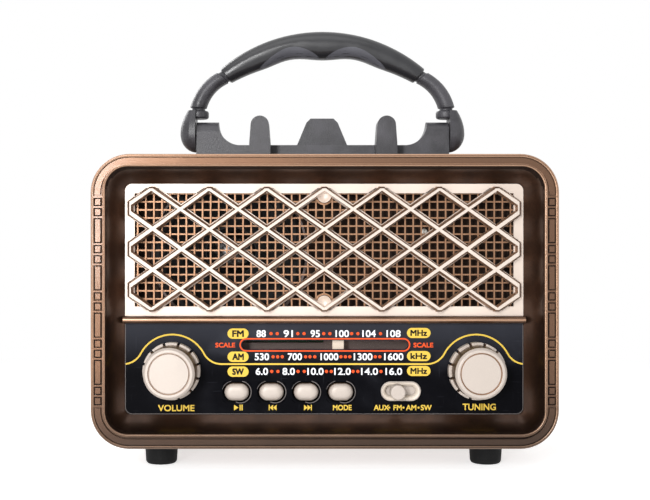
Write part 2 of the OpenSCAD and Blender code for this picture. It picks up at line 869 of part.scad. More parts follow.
cone_rim = speaker_hole - 2 - 2 * loose_gap;

module speaker_cone() {
    neck_r = 12.4;
    coil_r = 6;
    deep = 13;
    paper = 0.7;
    roll = 3;
    color("black") on_front(baffle_back + 1.2) at_speaker() {
        // The half round surround.
        rotate_extrude() translate([cone_rim / 2 - roll, 0]) difference() {
            circle(roll);
            circle(roll - paper);
            translate([-2 * roll, -2 * roll]) square([4 * roll, 2 * roll]);
        }
        // The cone, its floor and the coil's former.
        difference() {
            translate([0, 0, -deep]) cylinder(r1 = neck_r, r2 = cone_rim / 2 - 2 * roll + paper, h = deep + 0.4);
            translate([0, 0, -deep + eps])
                cylinder(r1 = neck_r - paper, r2 = cone_rim / 2 - 2 * roll, h = deep + 0.5);
        }
        difference() {
            translate([0, 0, -deep - paper]) cylinder(r = neck_r, h = paper);
            translate([0, 0, -deep - 1]) cylinder(r = coil_r - paper, h = 2);
        }
        difference() {
            translate([0, 0, -deep - 5]) cylinder(r = coil_r, h = 5 - paper / 2);
            translate([0, 0, -deep - 6]) cylinder(r = coil_r - paper, h = 8);
        }
    }
}

module speaker_dust_cap() {
    cap_r = 18;
    rise = 4;
    color("black") on_front(baffle_back + 1.2) at_speaker() translate([0, 0, -12.9])
        intersection() {
            translate([0, 0, rise - cap_r]) difference() {
                sphere(cap_r);
                sphere(cap_r - 0.7);
            }
            cylinder(d = 22, h = rise + 1);
        }
}

module indicator_led() {
    color("white") on_front(baffle_front + 4) translate([led_x, led_z, 0]) {
        cylinder(d = 3, h = 4.4);
        translate([0, 0, 4.4]) sphere(1.5);
        translate([0, 0, -1]) cylinder(d = 3.8, h = 1);
    }
}

// Dial panel
panel_front = cove_d;
panel_back = cove_d + panel_t;
panel_top = divider_bottom - fit;
panel_bottom = opening_bottom + fit;
panel_h = panel_top - panel_bottom;
slot_mid_x = 0.35;
well_w = button_w + 2 * button_gap;
well_h = button_h + 2 * button_gap;

module at_buttons() {
    for (i = [0 : 3]) translate([button_x0 + i * button_pitch, button_z]) children();
}

module dial_panel_outline() {
    w = opening_w - 2 * fit;
    difference() {
        translate([-w / 2, panel_bottom]) square([w, panel_h]);
        for (x = [-1, 1]) translate([x * (w / 2 - opening_r), panel_bottom + opening_r])
            difference() {
                translate([x > 0 ? 0 : -opening_r - 1, -opening_r - 1]) square(opening_r + 1);
                circle(opening_r);
            }
    }
}

module dial_panel() {
    color("black") slab(panel_front, panel_back) difference() {
        dial_panel_outline();
        translate([slot_mid_x, slot_z]) stadium(slot_len, slot_h);
        at_buttons() rounded_rect(well_w, well_h, 2.5);
        translate([switch_x, button_z + 0.3]) stadium(switch_w, switch_h);
        for (x = [-1, 1]) translate([x * knob_x, knob_z]) circle(d = shaft_dia + 4);
    }
}

module dial_window() {
    color("white", 0.4) slab(panel_back, panel_back + 1)
        translate([slot_mid_x, slot_z]) square([slot_len + 5, slot_h + 2.6], center = true);
}

// Chassis behind the dial
ledge_back = panel_back + 1.5;
chassis_front = 23;
chassis_t = 1.5;
chassis_back = chassis_front + chassis_t;
cord_depth = 18.5;
rail_z = slot_z - 5;
drum_t = 3.4;
cord_z = knob_z + drum_r;
pulley_z = cord_z - pulley_r;
idler_z = cord_z - 3 * pulley_r;
pin_dia = 1.6;
board_front = 21;
board_t = 1.6;
switch_body_front = 16.5;

module dial_chassis() {
    color("dimgray") {
        slab(chassis_front, chassis_back) difference() {
            translate([0, (panel_top + panel_bottom) / 2]) square([opening_w - 6, panel_h - 1], center = true);
            for (x = [-1, 1]) translate([x * knob_x, knob_z]) circle(d = shaft_dia + 2.2);
            translate([switch_x, button_z + 0.3]) square([12, 5], center = true);
            at_speaker() circle(d = basket_dia + 2);
            translate([-opening_w, slot_z]) square([opening_w, slot_h * 4]);
        }
        chassis_posts();
        rail_brackets();
        board_standoffs();
    }
}

module chassis_posts() {
    // Posts that carry the chassis on the front frame's ledge.
    for (x = [-1, 1])
        slab(ledge_back, chassis_front + eps) translate([x * (opening_w / 2 - 3.4), panel_bottom + 3.2]) circle(d = 4);
}

rail_x0 = left_pulley_x + 4;
rail_x1 = idler_x;

module rail_brackets() {
    for (x = [rail_x0, rail_x1]) difference() {
        slab(cord_depth - 2.2, chassis_front + eps)
            translate([x, rail_z]) square([2.4, 4.4], center = true);
        on_front(cord_depth) translate([x - 2, rail_z, 0])
            rotate([0, 90, 0]) cylinder(d = rail_dia + 0.1, h = 4);
    }
}

module pointer_rail() {
    over = 2;
    color("silver") on_front(cord_depth) translate([rail_x0 - over, rail_z, 0])
        rotate([0, 90, 0]) cylinder(d = rail_dia, h = rail_x1 - rail_x0 + 2 * over);
}

module dial_pointer() {
    blade_front = panel_back + 1.3;
    blade_t = 0.8;
    lug_t = 4;
    color("antiquewhite") difference() {
        union() {
            slab(blade_front, blade_front + blade_t)
                translate([pointer_x - pointer_w / 2, rail_z - 2]) square([pointer_w, cord_z + 1.6 - rail_z + 2]);
            slab(blade_front + blade_t - eps, cord_depth + 2)
                translate([pointer_x, rail_z]) square([lug_t, 4], center = true);
            slab(blade_front + blade_t - eps, cord_depth + 1.4)
                translate([pointer_x, cord_z + 0.2]) square([lug_t, 2.8], center = true);
        }
        on_front(cord_depth) translate([pointer_x - 4, rail_z, 0])
            rotate([0, 90, 0]) cylinder(r = rail_dia / 2 + run_gap, h = 8);
        on_front(cord_depth) translate([pointer_x - 4, cord_z, 0])
            rotate([0, 90, 0]) cylinder(d = cord_dia + 0.4, h = 8);
    }
}

// Cord drive
module pulley(x, z) {
    flange = 1;
    color("ivory") on_front(cord_depth) translate([x, z, 0]) difference() {
        rotate_extrude() difference() {
            translate([0, -1.3]) square([pulley_r + flange, 2.6]);
            translate([pulley_r + cord_dia * 0.05, 0]) circle(cord_dia / 2 + 0.08);
            translate([pulley_r, -cord_dia / 2 - 0.08]) square([2, cord_dia + 0.16]);
        }
        translate([0, 0, -3]) cylinder(r = pin_dia / 2 + run_gap, h = 6);
    }
}

module left_pulley() {
    pulley(left_pulley_x, pulley_z);
}

module idler_pulley() {
    pulley(idler_x, idler_z);
}

module pulley_pins() {
    color("silver") for (p = [[left_pulley_x, pulley_z, baffle_front], [idler_x, idler_z, chassis_front]]) {
        slab(cord_depth - 2.3, p[2]) translate([p[0], p[1]]) circle(d = pin_dia);
        slab(cord_depth - 2.3, cord_depth - 1.4) translate([p[0], p[1]]) circle(d = 3);
        slab(cord_depth + 1.4, p[2]) translate([p[0], p[1]]) circle(d = 3);
    }
}

module cord_drum() {
    flange = 0.8;
    color("ivory") on_front(cord_depth) translate([knob_x, knob_z, 0]) difference() {
        rotate_extrude() difference() {
            translate([0, -drum_t / 2]) square([drum_r + flange, drum_t]);
            translate([drum_r, 0]) circle(cord_dia / 2 + 0.08);
            translate([drum_r, -cord_dia / 2 - 0.08]) square([2, cord_dia + 0.16]);
        }
        for (i = [0 : 4]) rotate(i * 72) translate([11, 0, -drum_t]) cylinder(d = 7, h = 2 * drum_t);
        translate([0, 0, -drum_t]) cylinder(d = shaft_dia + 0.04, h = 2 * drum_t);
    }
}

// The cord's path: its turn angles come from the line that crosses between idler and drum.
link = [knob_x - idler_x, knob_z - idler_z];
cross = atan2(link[1], link[0]) - asin((pulley_r + drum_r) / norm(link));
idler_leave = [idler_x, idler_z] + pulley_r * [cos(cross + 90), sin(cross + 90)];
drum_meet = [knob_x, knob_z] + drum_r * [cos(cross - 90), sin(cross - 90)];

// Points along a turn round a pulley, each with the direction that points away from its middle.
function turn_points(middle, r, start, sweep, count) = [
    for (i = [0 : count]) let (t = start + sweep * i / count)
        [middle[0] + r * cos(t), middle[1] + r * sin(t), t]
];
cord_sides = 8;
function cord_ring(p) = [
    for (i = [0 : cord_sides - 1]) let (t = 360 * i / cord_sides, a = cord_dia / 2 * cos(t))
        [p[0] + a * cos(p[2]), p[1] + a * sin(p[2]), cord_dia / 2 * sin(t)]
];

// The cord starts and ends at the drum's top, where its knots sit in the drum.
module dial_cord() {
    knot_gap = 4;
    path = concat(
        turn_points([left_pulley_x, pulley_z], pulley_r, 90, 180, 12),
        [for (p = turn_points([idler_x, idler_z], pulley_r, 90, cross, 6)) [p[0], p[1], p[2] + 180]],
        turn_points([knob_x, knob_z], drum_r, cross - 90 + 360, 180 - cross - knot_gap, 30)
    );
    color("khaki") on_front(cord_depth)
        skin([for (p = concat([[knob_x, cord_z, 90]], path)) cord_ring(p)]);
}

// Knobs and their shafts
knob_back = panel_front - 0.5;
knob_front = panel_front - knob_h;

module knob(x) {
    ring_h = 4.5;
    lug_gap = 1.1;
    bore_d = 9;
    color("antiquewhite") on_front(knob_back) translate([x, knob_z, 0]) difference() {
        h = knob_back - knob_front;
        union() {
            rotate_extrude() polygon([
                [0, 0], [knob_dia / 2 - 1.2, 0], [knob_dia / 2 - 1.2, ring_h], [cap_dia / 2, ring_h + 0.6],
                [cap_dia / 2 - 0.4, h - 1.2], [cap_dia / 2 - 1.4, h], [0, h]
            ]);
            difference() {
                cylinder(d = knob_dia, h = ring_h);
                for (i = [0 : knob_lugs - 1]) rotate((i + 0.5) * 360 / knob_lugs)
                    translate([knob_dia / 2 - 1.3, -lug_gap / 2, -1]) cube([3, lug_gap, ring_h + 2]);
            }
        }
        // The face's ring groove and its shallow disc.
        translate([0, 0, h - 0.3]) cylinder(r = cap_dia * 0.39, h = 1);
        translate([0, 0, h - 0.8]) difference() {
            cylinder(r = cap_dia * 0.39, h = 1);
            translate([0, 0, -1]) cylinder(r = cap_dia * 0.39 - 0.5, h = 3);
        }
        translate([0, 0, -1]) cylinder(d = shaft_dia + 0.04, h = bore_d + 1);
        translate([0, 0, -1]) difference() {
            cylinder(d = knob_dia - 7, h = 6);
            cylinder(d = shaft_dia + 5, h = 7);
        }
    }
}

module tuning_knob() {
    knob(knob_x);
}

module volume_knob() {
    knob(-knob_x);
}

shaft_front = knob_back - 8.9;
shaft_back = chassis_back + 8;

module tuning_shaft() {
    color("silver") slab(shaft_front, shaft_back) translate([knob_x, knob_z]) circle(d = shaft_dia);
}

module volume_shaft() {
    color("silver") slab(shaft_front, shaft_back) translate([-knob_x, knob_z]) circle(d = shaft_dia);
}

module tuning_capacitor() {
    color("whitesmoke") difference() {
        union() {
            slab(chassis_back, chassis_back + 13) translate([knob_x, knob_z]) square(22, center = true);
            slab(chassis_front - 1.5, chassis_back + eps) translate([knob_x, knob_z]) circle(d = shaft_dia + 2);
        }
        slab(chassis_front - 2, shaft_back + 0.3) translate([knob_x, knob_z]) circle(r = shaft_dia / 2 + run_gap);
    }
}

module volume_potentiometer() {
    color("silver") difference() {
        union() {
            slab(chassis_back, chassis_back + 10) translate([-knob_x, knob_z]) circle(d = 17);
            slab(chassis_back, chassis_back + 2) translate([-knob_x, knob_z - 8]) square([14, 10], center = true);
            slab(chassis_front - 6, chassis_back + eps) translate([-knob_x, knob_z]) circle(d = shaft_dia + 2);
        }
        slab(chassis_front - 7, shaft_back + 0.3) translate([-knob_x, knob_z]) circle(r = shaft_dia / 2 + run_gap);
    }
}

// Buttons
button_face = panel_front - 2;
button_flange_front = panel_back + 0.2;

module push_button(index) {
    dome_r = 14;
    stem_end = board_front - 3.1;
    color("antiquewhite") translate([button_x0 + index * button_pitch, 0, 0]) {
        intersection() {
            slab(button_face, button_flange_front + 1) translate([0, button_z]) stadium(button_w, button_h);
            on_front(button_face) translate([0, button_z, -dome_r]) rotate([0, 90, 0])
                cylinder(r = dome_r, h = button_w + 2, center = true);
        }
        slab(button_flange_front, button_flange_front + 1)
            translate([0, button_z]) rounded_rect(well_w + 1.4, well_h + 1.4, 2.5);
        slab(button_flange_front + 1 - eps, stem_end) translate([0, button_z]) circle(d = 3.4);
    }
}

module play_button() {
    push_button(0);
}

module previous_button() {
    push_button(1);
}

module next_button() {
    push_button(2);
}

module mode_button() {
    push_button(3);
}

module tact_switches() {
    tact_h = 3.5;
    color("black") difference() {
        slab(board_front - tact_h, board_front) at_buttons() square(6.2, center = true);
        slab(board_front - tact_h - 1, board_front - 1.6) at_buttons() circle(d = 3.8);
    }
}

module button_board() {
    w = 3 * button_pitch + 12;
    color("green") slab(board_front, board_front + board_t)
        translate([button_x0 + 1.5 * button_pitch, button_z]) square([w, 12], center = true);
    // Two pads that seat the board on the chassis.
    color("green") slab(board_front + board_t - eps, chassis_front)
        for (x = [-1, 1]) translate([button_x0 + 1.5 * button_pitch + x * (w / 2 - 3), button_z]) circle(d = 4);
}

// Band switch: a dish with a slot, the knob on its slider, and the switch behind
band_z = button_z + 0.3;
band_rest = 1;
band_knob_x = switch_x - 1.5 * band_step + band_rest * band_step;
stem_w = 2.4;

dish_w = switch_w - 1.5;
dish_h = switch_h - 1.5;
cover_plate = [panel_back + 1, panel_back + 1.6];

module switch_bezel() {
    color("antiquewhite") difference() {
        union() {
            slab(panel_front + 0.2, panel_back + 0.01)
                translate([switch_x, band_z]) stadium(switch_w - 2 * fit, switch_h - 2 * fit);
            slab(panel_back, cover_plate[0] - run_gap)
                translate([switch_x, band_z]) stadium(switch_w + 3, switch_h + 1.5);
        }
        slab(panel_front - 1, panel_back + 2) translate([switch_x, band_z]) stadium(dish_w, dish_h);
    }
}

module band_switch_knob() {
    knob_d = 6.9;
    knob_tall = 5.6;
    color("antiquewhite") {
        on_front(panel_front + 0.1) translate([band_knob_x, band_z, 0])
            rotate_extrude() polygon([
                [0, 0], [knob_d / 2, 0], [knob_d / 2 - 0.1, knob_tall - 0.5], [knob_d / 2 - 0.5, knob_tall],
                [0, knob_tall]
            ]);
        slab(panel_front, switch_body_front + 3)
            translate([band_knob_x, band_z]) square([stem_w, 2.2], center = true);
        // The cover plate slides behind the dish and closes it at every position.
        slab(cover_plate[0], cover_plate[1]) translate([
            switch_x - dish_w / 2 - 0.4 - (3 - band_rest) * band_step, band_z - dish_h / 2 - 0.4
        ]) square([dish_w + 0.8 + 3 * band_step, dish_h + 0.8]);
    }
}

module band_switch_body() {
    slot_l = 3 * band_step + stem_w + 0.8;
    color("silver") difference() {
        slab(switch_body_front, chassis_front) translate([switch_x, band_z]) square([20, 7.4], center = true);
        slab(switch_body_front - 1, switch_body_front + 3.4)
            translate([switch_x, band_z]) square([slot_l, 2.8], center = true);
    }
}

// Boards behind the dial
main_depth = 40;
board_w = 84;
board_h = 30;
board_z = panel_bottom + 2 + board_h / 2;

module main_board() {
    color("green") {
        slab(main_depth, main_depth + board_t) difference() {
            translate([0, board_z]) square([board_w, board_h], center = true);
            for (x = [-1, 1], y = [-1, 1])
                translate([x * (board_w / 2 - 4), board_z + y * (board_h / 2 - 4)]) circle(d = 2.4);
        }
        // Chips, cans and coils on its back.
        for (part = [[-20, 4, 14, 14, 1.6], [8, 6, 9, 9, 1.2], [26, -6, 12, 8, 10], [-4, -9, 16, 6, 7]])
            slab(main_depth + board_t - eps, main_depth + board_t + part[4])
                translate([part[0], board_z + part[1]]) square([part[2], part[3]], center = true);
        for (i = [0 : 3]) slab(main_depth + board_t - eps, main_depth + board_t + 11)
            translate([-28 + i * 8, board_z - 10]) circle(d = 6);
    }
}

module board_standoffs() {
    for (x = [-1, 1], y = [-1, 1]) {
        slab(chassis_back - eps, main_depth) translate([x * (board_w / 2 - 4), board_z + y * (board_h / 2 - 4)]) circle(d = 5);
        slab(main_depth - 1, main_depth + board_t + 1)
            translate([x * (board_w / 2 - 4), board_z + y * (board_h / 2 - 4)]) circle(d = 2.3);
    }
}

// Ferrite aerial on the back of the baffle
rod_dia = 8;
rod_len = 76;
rod_x = opening_w / 2 - 43.1;
rod_z = opening_top - 10.95;
rod_depth = baffle_back + 8;

module ferrite_rod() {
    color("dimgray") on_front(rod_depth) translate([rod_x - rod_len / 2, rod_z, 0])
        rotate([0, 90, 0]) cylinder(d = rod_dia, h = rod_len);
}

module ferrite_coil() {
    coil_w = 24;
    color("orangered") on_front(rod_depth) translate([rod_x - 8, rod_z, 0]) rotate([0, 90, 0]) difference() {
        cylinder(d = rod_dia + 3, h = coil_w);
        translate([0, 0, -1]) cylinder(d = rod_dia + 2 * run_gap, h = coil_w + 2);
    }
}

module rod_clips() {
    for (x = [-1, 1]) difference() {
        slab(baffle_back - eps, rod_depth + rod_dia / 2 + 1.5)
            translate([rod_x + x * (rod_len / 2 - 5), rod_z]) square([4, rod_dia + 3], center = true);
        on_front(rod_depth) translate([rod_x + x * (rod_len / 2 - 5) - 3, rod_z, 0])
            rotate([0, 90, 0]) cylinder(d = rod_dia + 2 * run_gap, h = 6);
    }
}

// Handle

hub_in = handle_half_w - hub_t;
post_out = hub_in - 0.4;
base_screw_x = post_out - 5.2;
post_top = 5.6;
rail_top = -5.4;
rail_d = phone_gap;
base_bottom = -(pivot_z - body_h / 2 + shell_step);
scoop_r = 10.2;
fin_top = 6.9;
fin_d = 12;
rest_top = 8.1;

// Places a drawing of the upright handle, seen from the front, with the pivot as its origin.
module on_pivot(y) {
    translate([0, y, pivot_abs]) rotate([90, 0, 0]) children();
}

module base_outline() {
    difference() {
        translate([-post_out, base_bottom]) square([2 * post_out, post_top - base_bottom]);
        translate([-(post_out - post_w - scoop_r), rail_top])
            square([2 * (post_out - post_w - scoop_r), post_top - rail_top + 1]);
        for (x = [-1, 1]) translate([x * (post_out - post_w - scoop_r), rail_top + scoop_r]) circle(scoop_r);
    }
}

module handle_base() {
    post_r = post_top;
    foot_plate = 3.2;
    color("darkslategray") difference() {
        union() {
            intersection() {
                on_pivot(rail_d / 2) linear_extrude(rail_d) base_outline();
                // The posts' tops are round about the pivot.
                translate([-body_w / 2, 0, pivot_abs]) rotate([90, 0, 90]) linear_extrude(body_w) {
                    circle(post_r);
                    translate([-post_r, base_bottom - 1]) square([2 * post_r, -base_bottom + 1]);
                    translate([-rail_d / 2, base_bottom - 1]) square([rail_d, rail_top - base_bottom + 1]);
                }
            }
            // The saddle plate on the cabinet.
            translate([0, 0, pivot_abs + base_bottom]) linear_extrude(foot_plate)
                rounded_rect(2 * post_out, base_d, 6);
            phone_fins();
            phone_backrest();
        }
        for (x = [-1, 1]) {
            translate([0, 0, pivot_abs]) rotate([0, 90 * x, 0])
                translate([0, 0, post_out - 7]) cylinder(r = pin_r, h = 8);
            translate([x * base_screw_x, 0, pivot_abs + base_bottom - 1]) cylinder(d = 2.6, h = 9);
        }
    }
}

module phone_fins() {
    side = fin_w / 2;
    taper = 0.6;
    for (x = [-1, 1]) on_pivot(eps - rail_d / 2) translate([x * fin_x, 0, 0]) linear_extrude(fin_d) {
        translate([0, fin_top - side + taper]) circle(side - taper);
        polygon([
            [-side, base_bottom + 1], [side, base_bottom + 1], [side, rail_top],
            [side - taper, fin_top - side + taper], [taper - side, fin_top - side + taper], [-side, rail_top]
        ]);
    }
}

module phone_backrest() {
    rest_t = 4;
    low_half = 12.2;
    top_half = 6.8;
    round_r = 2;
    on_pivot(rail_d / 2 - eps + rest_t) linear_extrude(rest_t) polygon([
        [-low_half, base_bottom + 1], [low_half, base_bottom + 1], [low_half, rail_top],
        [top_half + 0.6, rest_top - round_r], [top_half - round_r * 0.7, rest_top],
        [round_r * 0.7 - top_half, rest_top], [-top_half - 0.6, rest_top - round_r], [-low_half, rail_top]
    ]);
}

module handle_pins() {
    color("silver") for (x = [-1, 1])
        translate([0, 0, pivot_abs]) rotate([0, 90 * x, 0])
            translate([0, 0, post_out - 6.9]) cylinder(r = pin_r - 0.02, h = 12);
}

module base_screws() {
    inside_top = mid_z + shell_h / 2 - wall_t;
    color("silver") for (x = [-1, 1]) translate([x * base_screw_x, 0, inside_top]) {
        translate([0, 0, -1.8]) cylinder(d = 5.6, h = 1.8 - 0.02);
        translate([0, 0, -1]) cylinder(d = 2.5, h = wall_t + 7);
    }
}

// A ring of points across the handle: its middle, the slant of its long axis and its two half widths.
ring_points = 24;
function handle_ring(middle, slant, a, b) = [
    for (i = [0 : ring_points - 1]) let (t = 360 * i / ring_points) [
        middle[0] + a * cos(t) * cos(slant), b * sin(t), middle[1] + a * cos(t) * sin(slant)
    ]
];

arch_z = grip_rise - grip_arch_r;
grip_half_angle = 40.4;
end_inner = grip_arch_r - 8.2;
mid_inner = grip_arch_r - 13.2;
scallop_angle = 13.4;
scallop_cut = 1.5;
function scallop(d) = let (u = (abs(d) - scallop_angle) / scallop_angle)
    abs(u) < 1 ? scallop_cut * pow(cos(90 * u), 2) : 0;
function grip_inner(d) = mid_inner + (end_inner - mid_inner) * pow(d / grip_half_angle, 2) + scallop(d);
function grip_ring(d, shrink) = let (
    inner = grip_inner(d),
    middle = (grip_arch_r + inner) / 2,
    a = (grip_arch_r - inner) / 2,
    b = grip_d / 2 * (1 - 0.26 * pow(d / grip_half_angle, 2))
) handle_ring([middle * sin(d), arch_z + middle * cos(d)], 90 - d, a - shrink, b - shrink);

module handle_grip() {
    steps = 40;
    color("dimgray") translate([0, 0, pivot_abs])
        skin(concat(
            [grip_ring(grip_half_angle, 0.5)],
            [for (i = [0 : steps]) grip_ring((1 - 2 * i / steps) * (grip_half_angle - 0.4), 0)],
            [grip_ring(-grip_half_angle, 0.5)]
        ));
}

// The sleeve runs from the collar on the hub to the end of the grip.
collar_top = 10.9;
collar_h = 3.8;
collar_r = 4.6;
collar_x = handle_half_w - 8.6;
sleeve_low = [collar_x + 0.2, collar_top + 1.5];
sleeve_high = [handle_half_w - 19.5, 26.2];
grip_end = let (middle = (grip_arch_r + end_inner) / 2)
    [middle * sin(grip_half_angle), arch_z + middle * cos(grip_half_angle)];
function sleeve_middle(t) = let (bend = [1.5, 1.2])
    (1 - t) * sleeve_low + t * sleeve_high + 4 * t * (1 - t) * bend;

module handle_sleeve() {
    steps = 10;
    neck_a = 3;
    neck_b = 3.6;
    skin(concat(
        [
            handle_ring([collar_x, collar_top + 0.02], 0, neck_a, neck_b),
            handle_ring(sleeve_low - [0, 0.3], 3, neck_a, neck_b),
            handle_ring(sleeve_low - [0, 0.2], 3, 3.5, 4.6)
        ],
        [for (i = [0 : steps]) let (t = i / steps)
            handle_ring(sleeve_middle(t), 4.5 + 35.5 * t, 3.85 - 0.25 * t, 5)],
        [
            handle_ring(sleeve_high + 0.12 * (grip_end - sleeve_high), 41, 3.3, 4.6),
            handle_ring(sleeve_high + 0.3 * (grip_end - sleeve_high), 43, neck_a, neck_b),
            handle_ring(grip_end, 90 - grip_half_angle, neck_a, neck_b)
        ]
    ));
}

module handle_sleeves() {
    color("dimgray") translate([0, 0, pivot_abs])
        for (side = [0, 1]) mirror([side, 0, 0]) handle_sleeve();
}

// The hub is egg shaped round the pivot and carries the collar on its top.
hub_low = 8.4;
hub_high = 10.9;
hub_half_d = 8;
function hub_ring(z) = let (
    low = z < 0,
    round_off = sqrt(max(0, 1 - pow(z / hub_low, 2))),
    out = hub_t * (low ? round_off : 1 - 0.45 * pow(z / hub_high, 2)),
    b = hub_half_d * (low ? round_off : 1 - 0.38 * pow(z / hub_high, 2))
) [
    for (i = [0 : ring_points - 1]) let (t = 360 * i / ring_points, side = max(0, cos(t)))
        [hub_in + out * pow(side, 0.7), b * sin(t), z]
];

module handle_hub() {
    low_rings = 12;
    high_rings = 6;
    difference() {
        union() {
            skin(concat(
                [for (i = [0 : low_rings]) hub_ring(-0.995 * hub_low * cos(90 * i / low_rings))],
                [for (i = [1 : high_rings]) hub_ring(hub_high * i / high_rings)]
            ));
            translate([collar_x, 0, collar_top - collar_h]) rotate_extrude() polygon([
                [0, 0], [collar_r - 1, 0], [collar_r - 0.3, 0.3], [collar_r, 1], [collar_r, collar_h - 1],
                [collar_r - 0.3, collar_h - 0.3], [collar_r - 1, collar_h], [0, collar_h]
            ]);
        }
        translate([hub_in - 1, 0, 0]) rotate([0, 90, 0]) cylinder(r = pin_r + run_gap, h = 6.4);
    }
}

module handle_hubs() {
    color("dimgray") translate([0, 0, pivot_abs])
        for (side = [0, 1]) mirror([side, 0, 0]) handle_hub();
}

// Antenna in the rebate at the top of the back
rod_line = body_d - 4.4;
antenna_x = screw_x - 14;
antenna_z = rebate_bottom + 7.9;
seat_depth = body_d - rebate_d;
turret_t = 2;
tilt_pin_r = 1;
tongue_t = 3.6;
tube_wall = 0.65;
tube_start = antenna_x - 6.5;

module antenna_seat_hole() {
    slab(seat_depth - wall_t - 1, seat_depth + 1) translate([antenna_x, antenna_z]) circle(r = 2.5 + run_gap);
}

module antenna_turret() {
    ear_t = 1.4;
    color("silver") difference() {
        union() {
            slab(seat_depth + run_gap, seat_depth + turret_t) translate([antenna_x, antenna_z]) circle(d = 12);
            slab(seat_depth - wall_t - 0.4, seat_depth + turret_t) translate([antenna_x, antenna_z]) circle(r = 2.5);
            slab(seat_depth - wall_t - 1.6, seat_depth - wall_t - 0.3)
                translate([antenna_x, antenna_z]) circle(r = 3.4);
            for (z = [-1, 1])
                slab(seat_depth + turret_t - eps, rod_line + 2.4)
                    translate([antenna_x, antenna_z + z * (tongue_t / 2 + 0.15 + ear_t / 2)])
                        square([5.6, ear_t], center = true);
        }
        on_front(rod_line) translate([antenna_x, antenna_z - 6, 0]) rotate([-90, 0, 0])
            cylinder(r = tilt_pin_r, h = 12);
    }
}

module antenna_pin() {
    color("silver") on_front(rod_line) translate([antenna_x, antenna_z, 0]) rotate([-90, 0, 0])
        cylinder(r = tilt_pin_r - 0.01, h = tongue_t + 2.9, center = true);
}

module tube_along(from, len, r) {
    on_front(rod_line) translate([from, antenna_z, 0]) rotate([0, -90, 0]) cylinder(r = r, h = len);
}

function tube_r(i) = antenna_dia / 2 - i * (tube_wall + run_gap);

module antenna_tube_1() {
    color("silver") difference() {
        union() {
            difference() {
                tube_along(tube_start, antenna_len, tube_r(0));
                tube_along(tube_start - 3, antenna_len, tube_r(1) + run_gap);
            }
            // The flat tongue that turns on the tilt pin.
            slab(rod_line - 2.2, rod_line + 2.2)
                translate([antenna_x - 8, antenna_z - tongue_t / 2]) square([8, tongue_t]);
            on_front(rod_line) translate([antenna_x, antenna_z - tongue_t / 2, 0]) rotate([-90, 0, 0])
                cylinder(r = 2.2, h = tongue_t);
        }
        on_front(rod_line) translate([antenna_x, antenna_z - 6, 0]) rotate([-90, 0, 0])
            cylinder(r = tilt_pin_r + run_gap, h = 12);
    }
}

module inner_tube(i) {
    start = tube_start - 1 - 2.5 * i;
    color("silver") difference() {
        tube_along(start, antenna_len - 1 - 2 * i, tube_r(i));
        if (i < 3) tube_along(start - 2, antenna_len, tube_r(i + 1) + run_gap);
    }
}

module antenna_tube_2() {
    inner_tube(1);
}

module antenna_tube_3() {
    inner_tube(2);
}

module antenna_tip() {
    inner_tube(3);
    color("silver") tube_along(tube_start - antenna_len - 2.3, 5, tube_r(1));
}

front_frame();
cabinet_shell();
rear_cover();
feet();
foot_screws();
case_screws();
battery_door();
battery_cell();
battery_contacts();
usb_sockets();
aux_socket();
grille_lattice();
grille_screws();
speaker_mesh();
baffle_board();
speaker_basket();
speaker_magnet();
speaker_cone();
speaker_dust_cap();
indicator_led();
dial_panel();
dial_window();
dial_chassis();
pointer_rail();
dial_pointer();
dial_cord();
left_pulley();
idler_pulley();
pulley_pins();
cord_drum();
tuning_shaft();
tuning_capacitor();
tuning_knob();
volume_knob();
volume_shaft();
volume_potentiometer();
play_button();
previous_button();
next_button();
mode_button();
tact_switches();
button_board();
switch_bezel();
band_switch_knob();
band_switch_body();
main_board();
ferrite_rod();
ferrite_coil();
handle_base();
base_screws();
handle_pins();
handle_hubs();
handle_sleeves();
handle_grip();
antenna_turret();
antenna_pin();
antenna_tube_1();
antenna_tube_2();
antenna_tube_3();
antenna_tip();
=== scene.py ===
"""Finishes, printing, studio and camera of a table radio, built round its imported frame.

The radio stands on the floor at the origin, faces -Y and has +X on its right. Every length is in metres.
"""
import json
import logging
import math
from dataclasses import dataclass, field
from enum import Enum
from typing import Callable, Iterable, Sequence

import bmesh
import bpy
import numpy as np
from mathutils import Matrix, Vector


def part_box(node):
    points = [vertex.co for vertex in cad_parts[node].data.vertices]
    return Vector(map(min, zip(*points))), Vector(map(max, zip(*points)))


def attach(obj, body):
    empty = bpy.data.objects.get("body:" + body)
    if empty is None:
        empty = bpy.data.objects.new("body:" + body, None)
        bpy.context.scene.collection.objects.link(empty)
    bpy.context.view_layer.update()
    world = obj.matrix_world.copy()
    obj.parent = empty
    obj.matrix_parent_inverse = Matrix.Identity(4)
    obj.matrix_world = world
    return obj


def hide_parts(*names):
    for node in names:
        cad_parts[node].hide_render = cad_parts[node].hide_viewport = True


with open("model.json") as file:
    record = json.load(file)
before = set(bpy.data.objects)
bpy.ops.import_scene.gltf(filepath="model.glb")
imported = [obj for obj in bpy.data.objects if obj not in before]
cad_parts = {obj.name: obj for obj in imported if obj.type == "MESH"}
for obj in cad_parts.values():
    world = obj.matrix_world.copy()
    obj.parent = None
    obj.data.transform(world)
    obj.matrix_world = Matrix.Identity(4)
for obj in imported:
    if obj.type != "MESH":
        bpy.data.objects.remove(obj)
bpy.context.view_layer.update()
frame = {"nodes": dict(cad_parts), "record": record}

MM = 0.001
MERGE_GAP = 0.002 * MM
# Degrees: faces this even are one plane, and edges above the second angle stay crisp on plain copies.
EVEN = 0.6
CREASE = 32.0
LOG = logging.getLogger("radio")
Colour = tuple[float, float, float]
WHITE: Colour = (1.0, 1.0, 1.0)
Value = float | Sequence[float] | "Field"


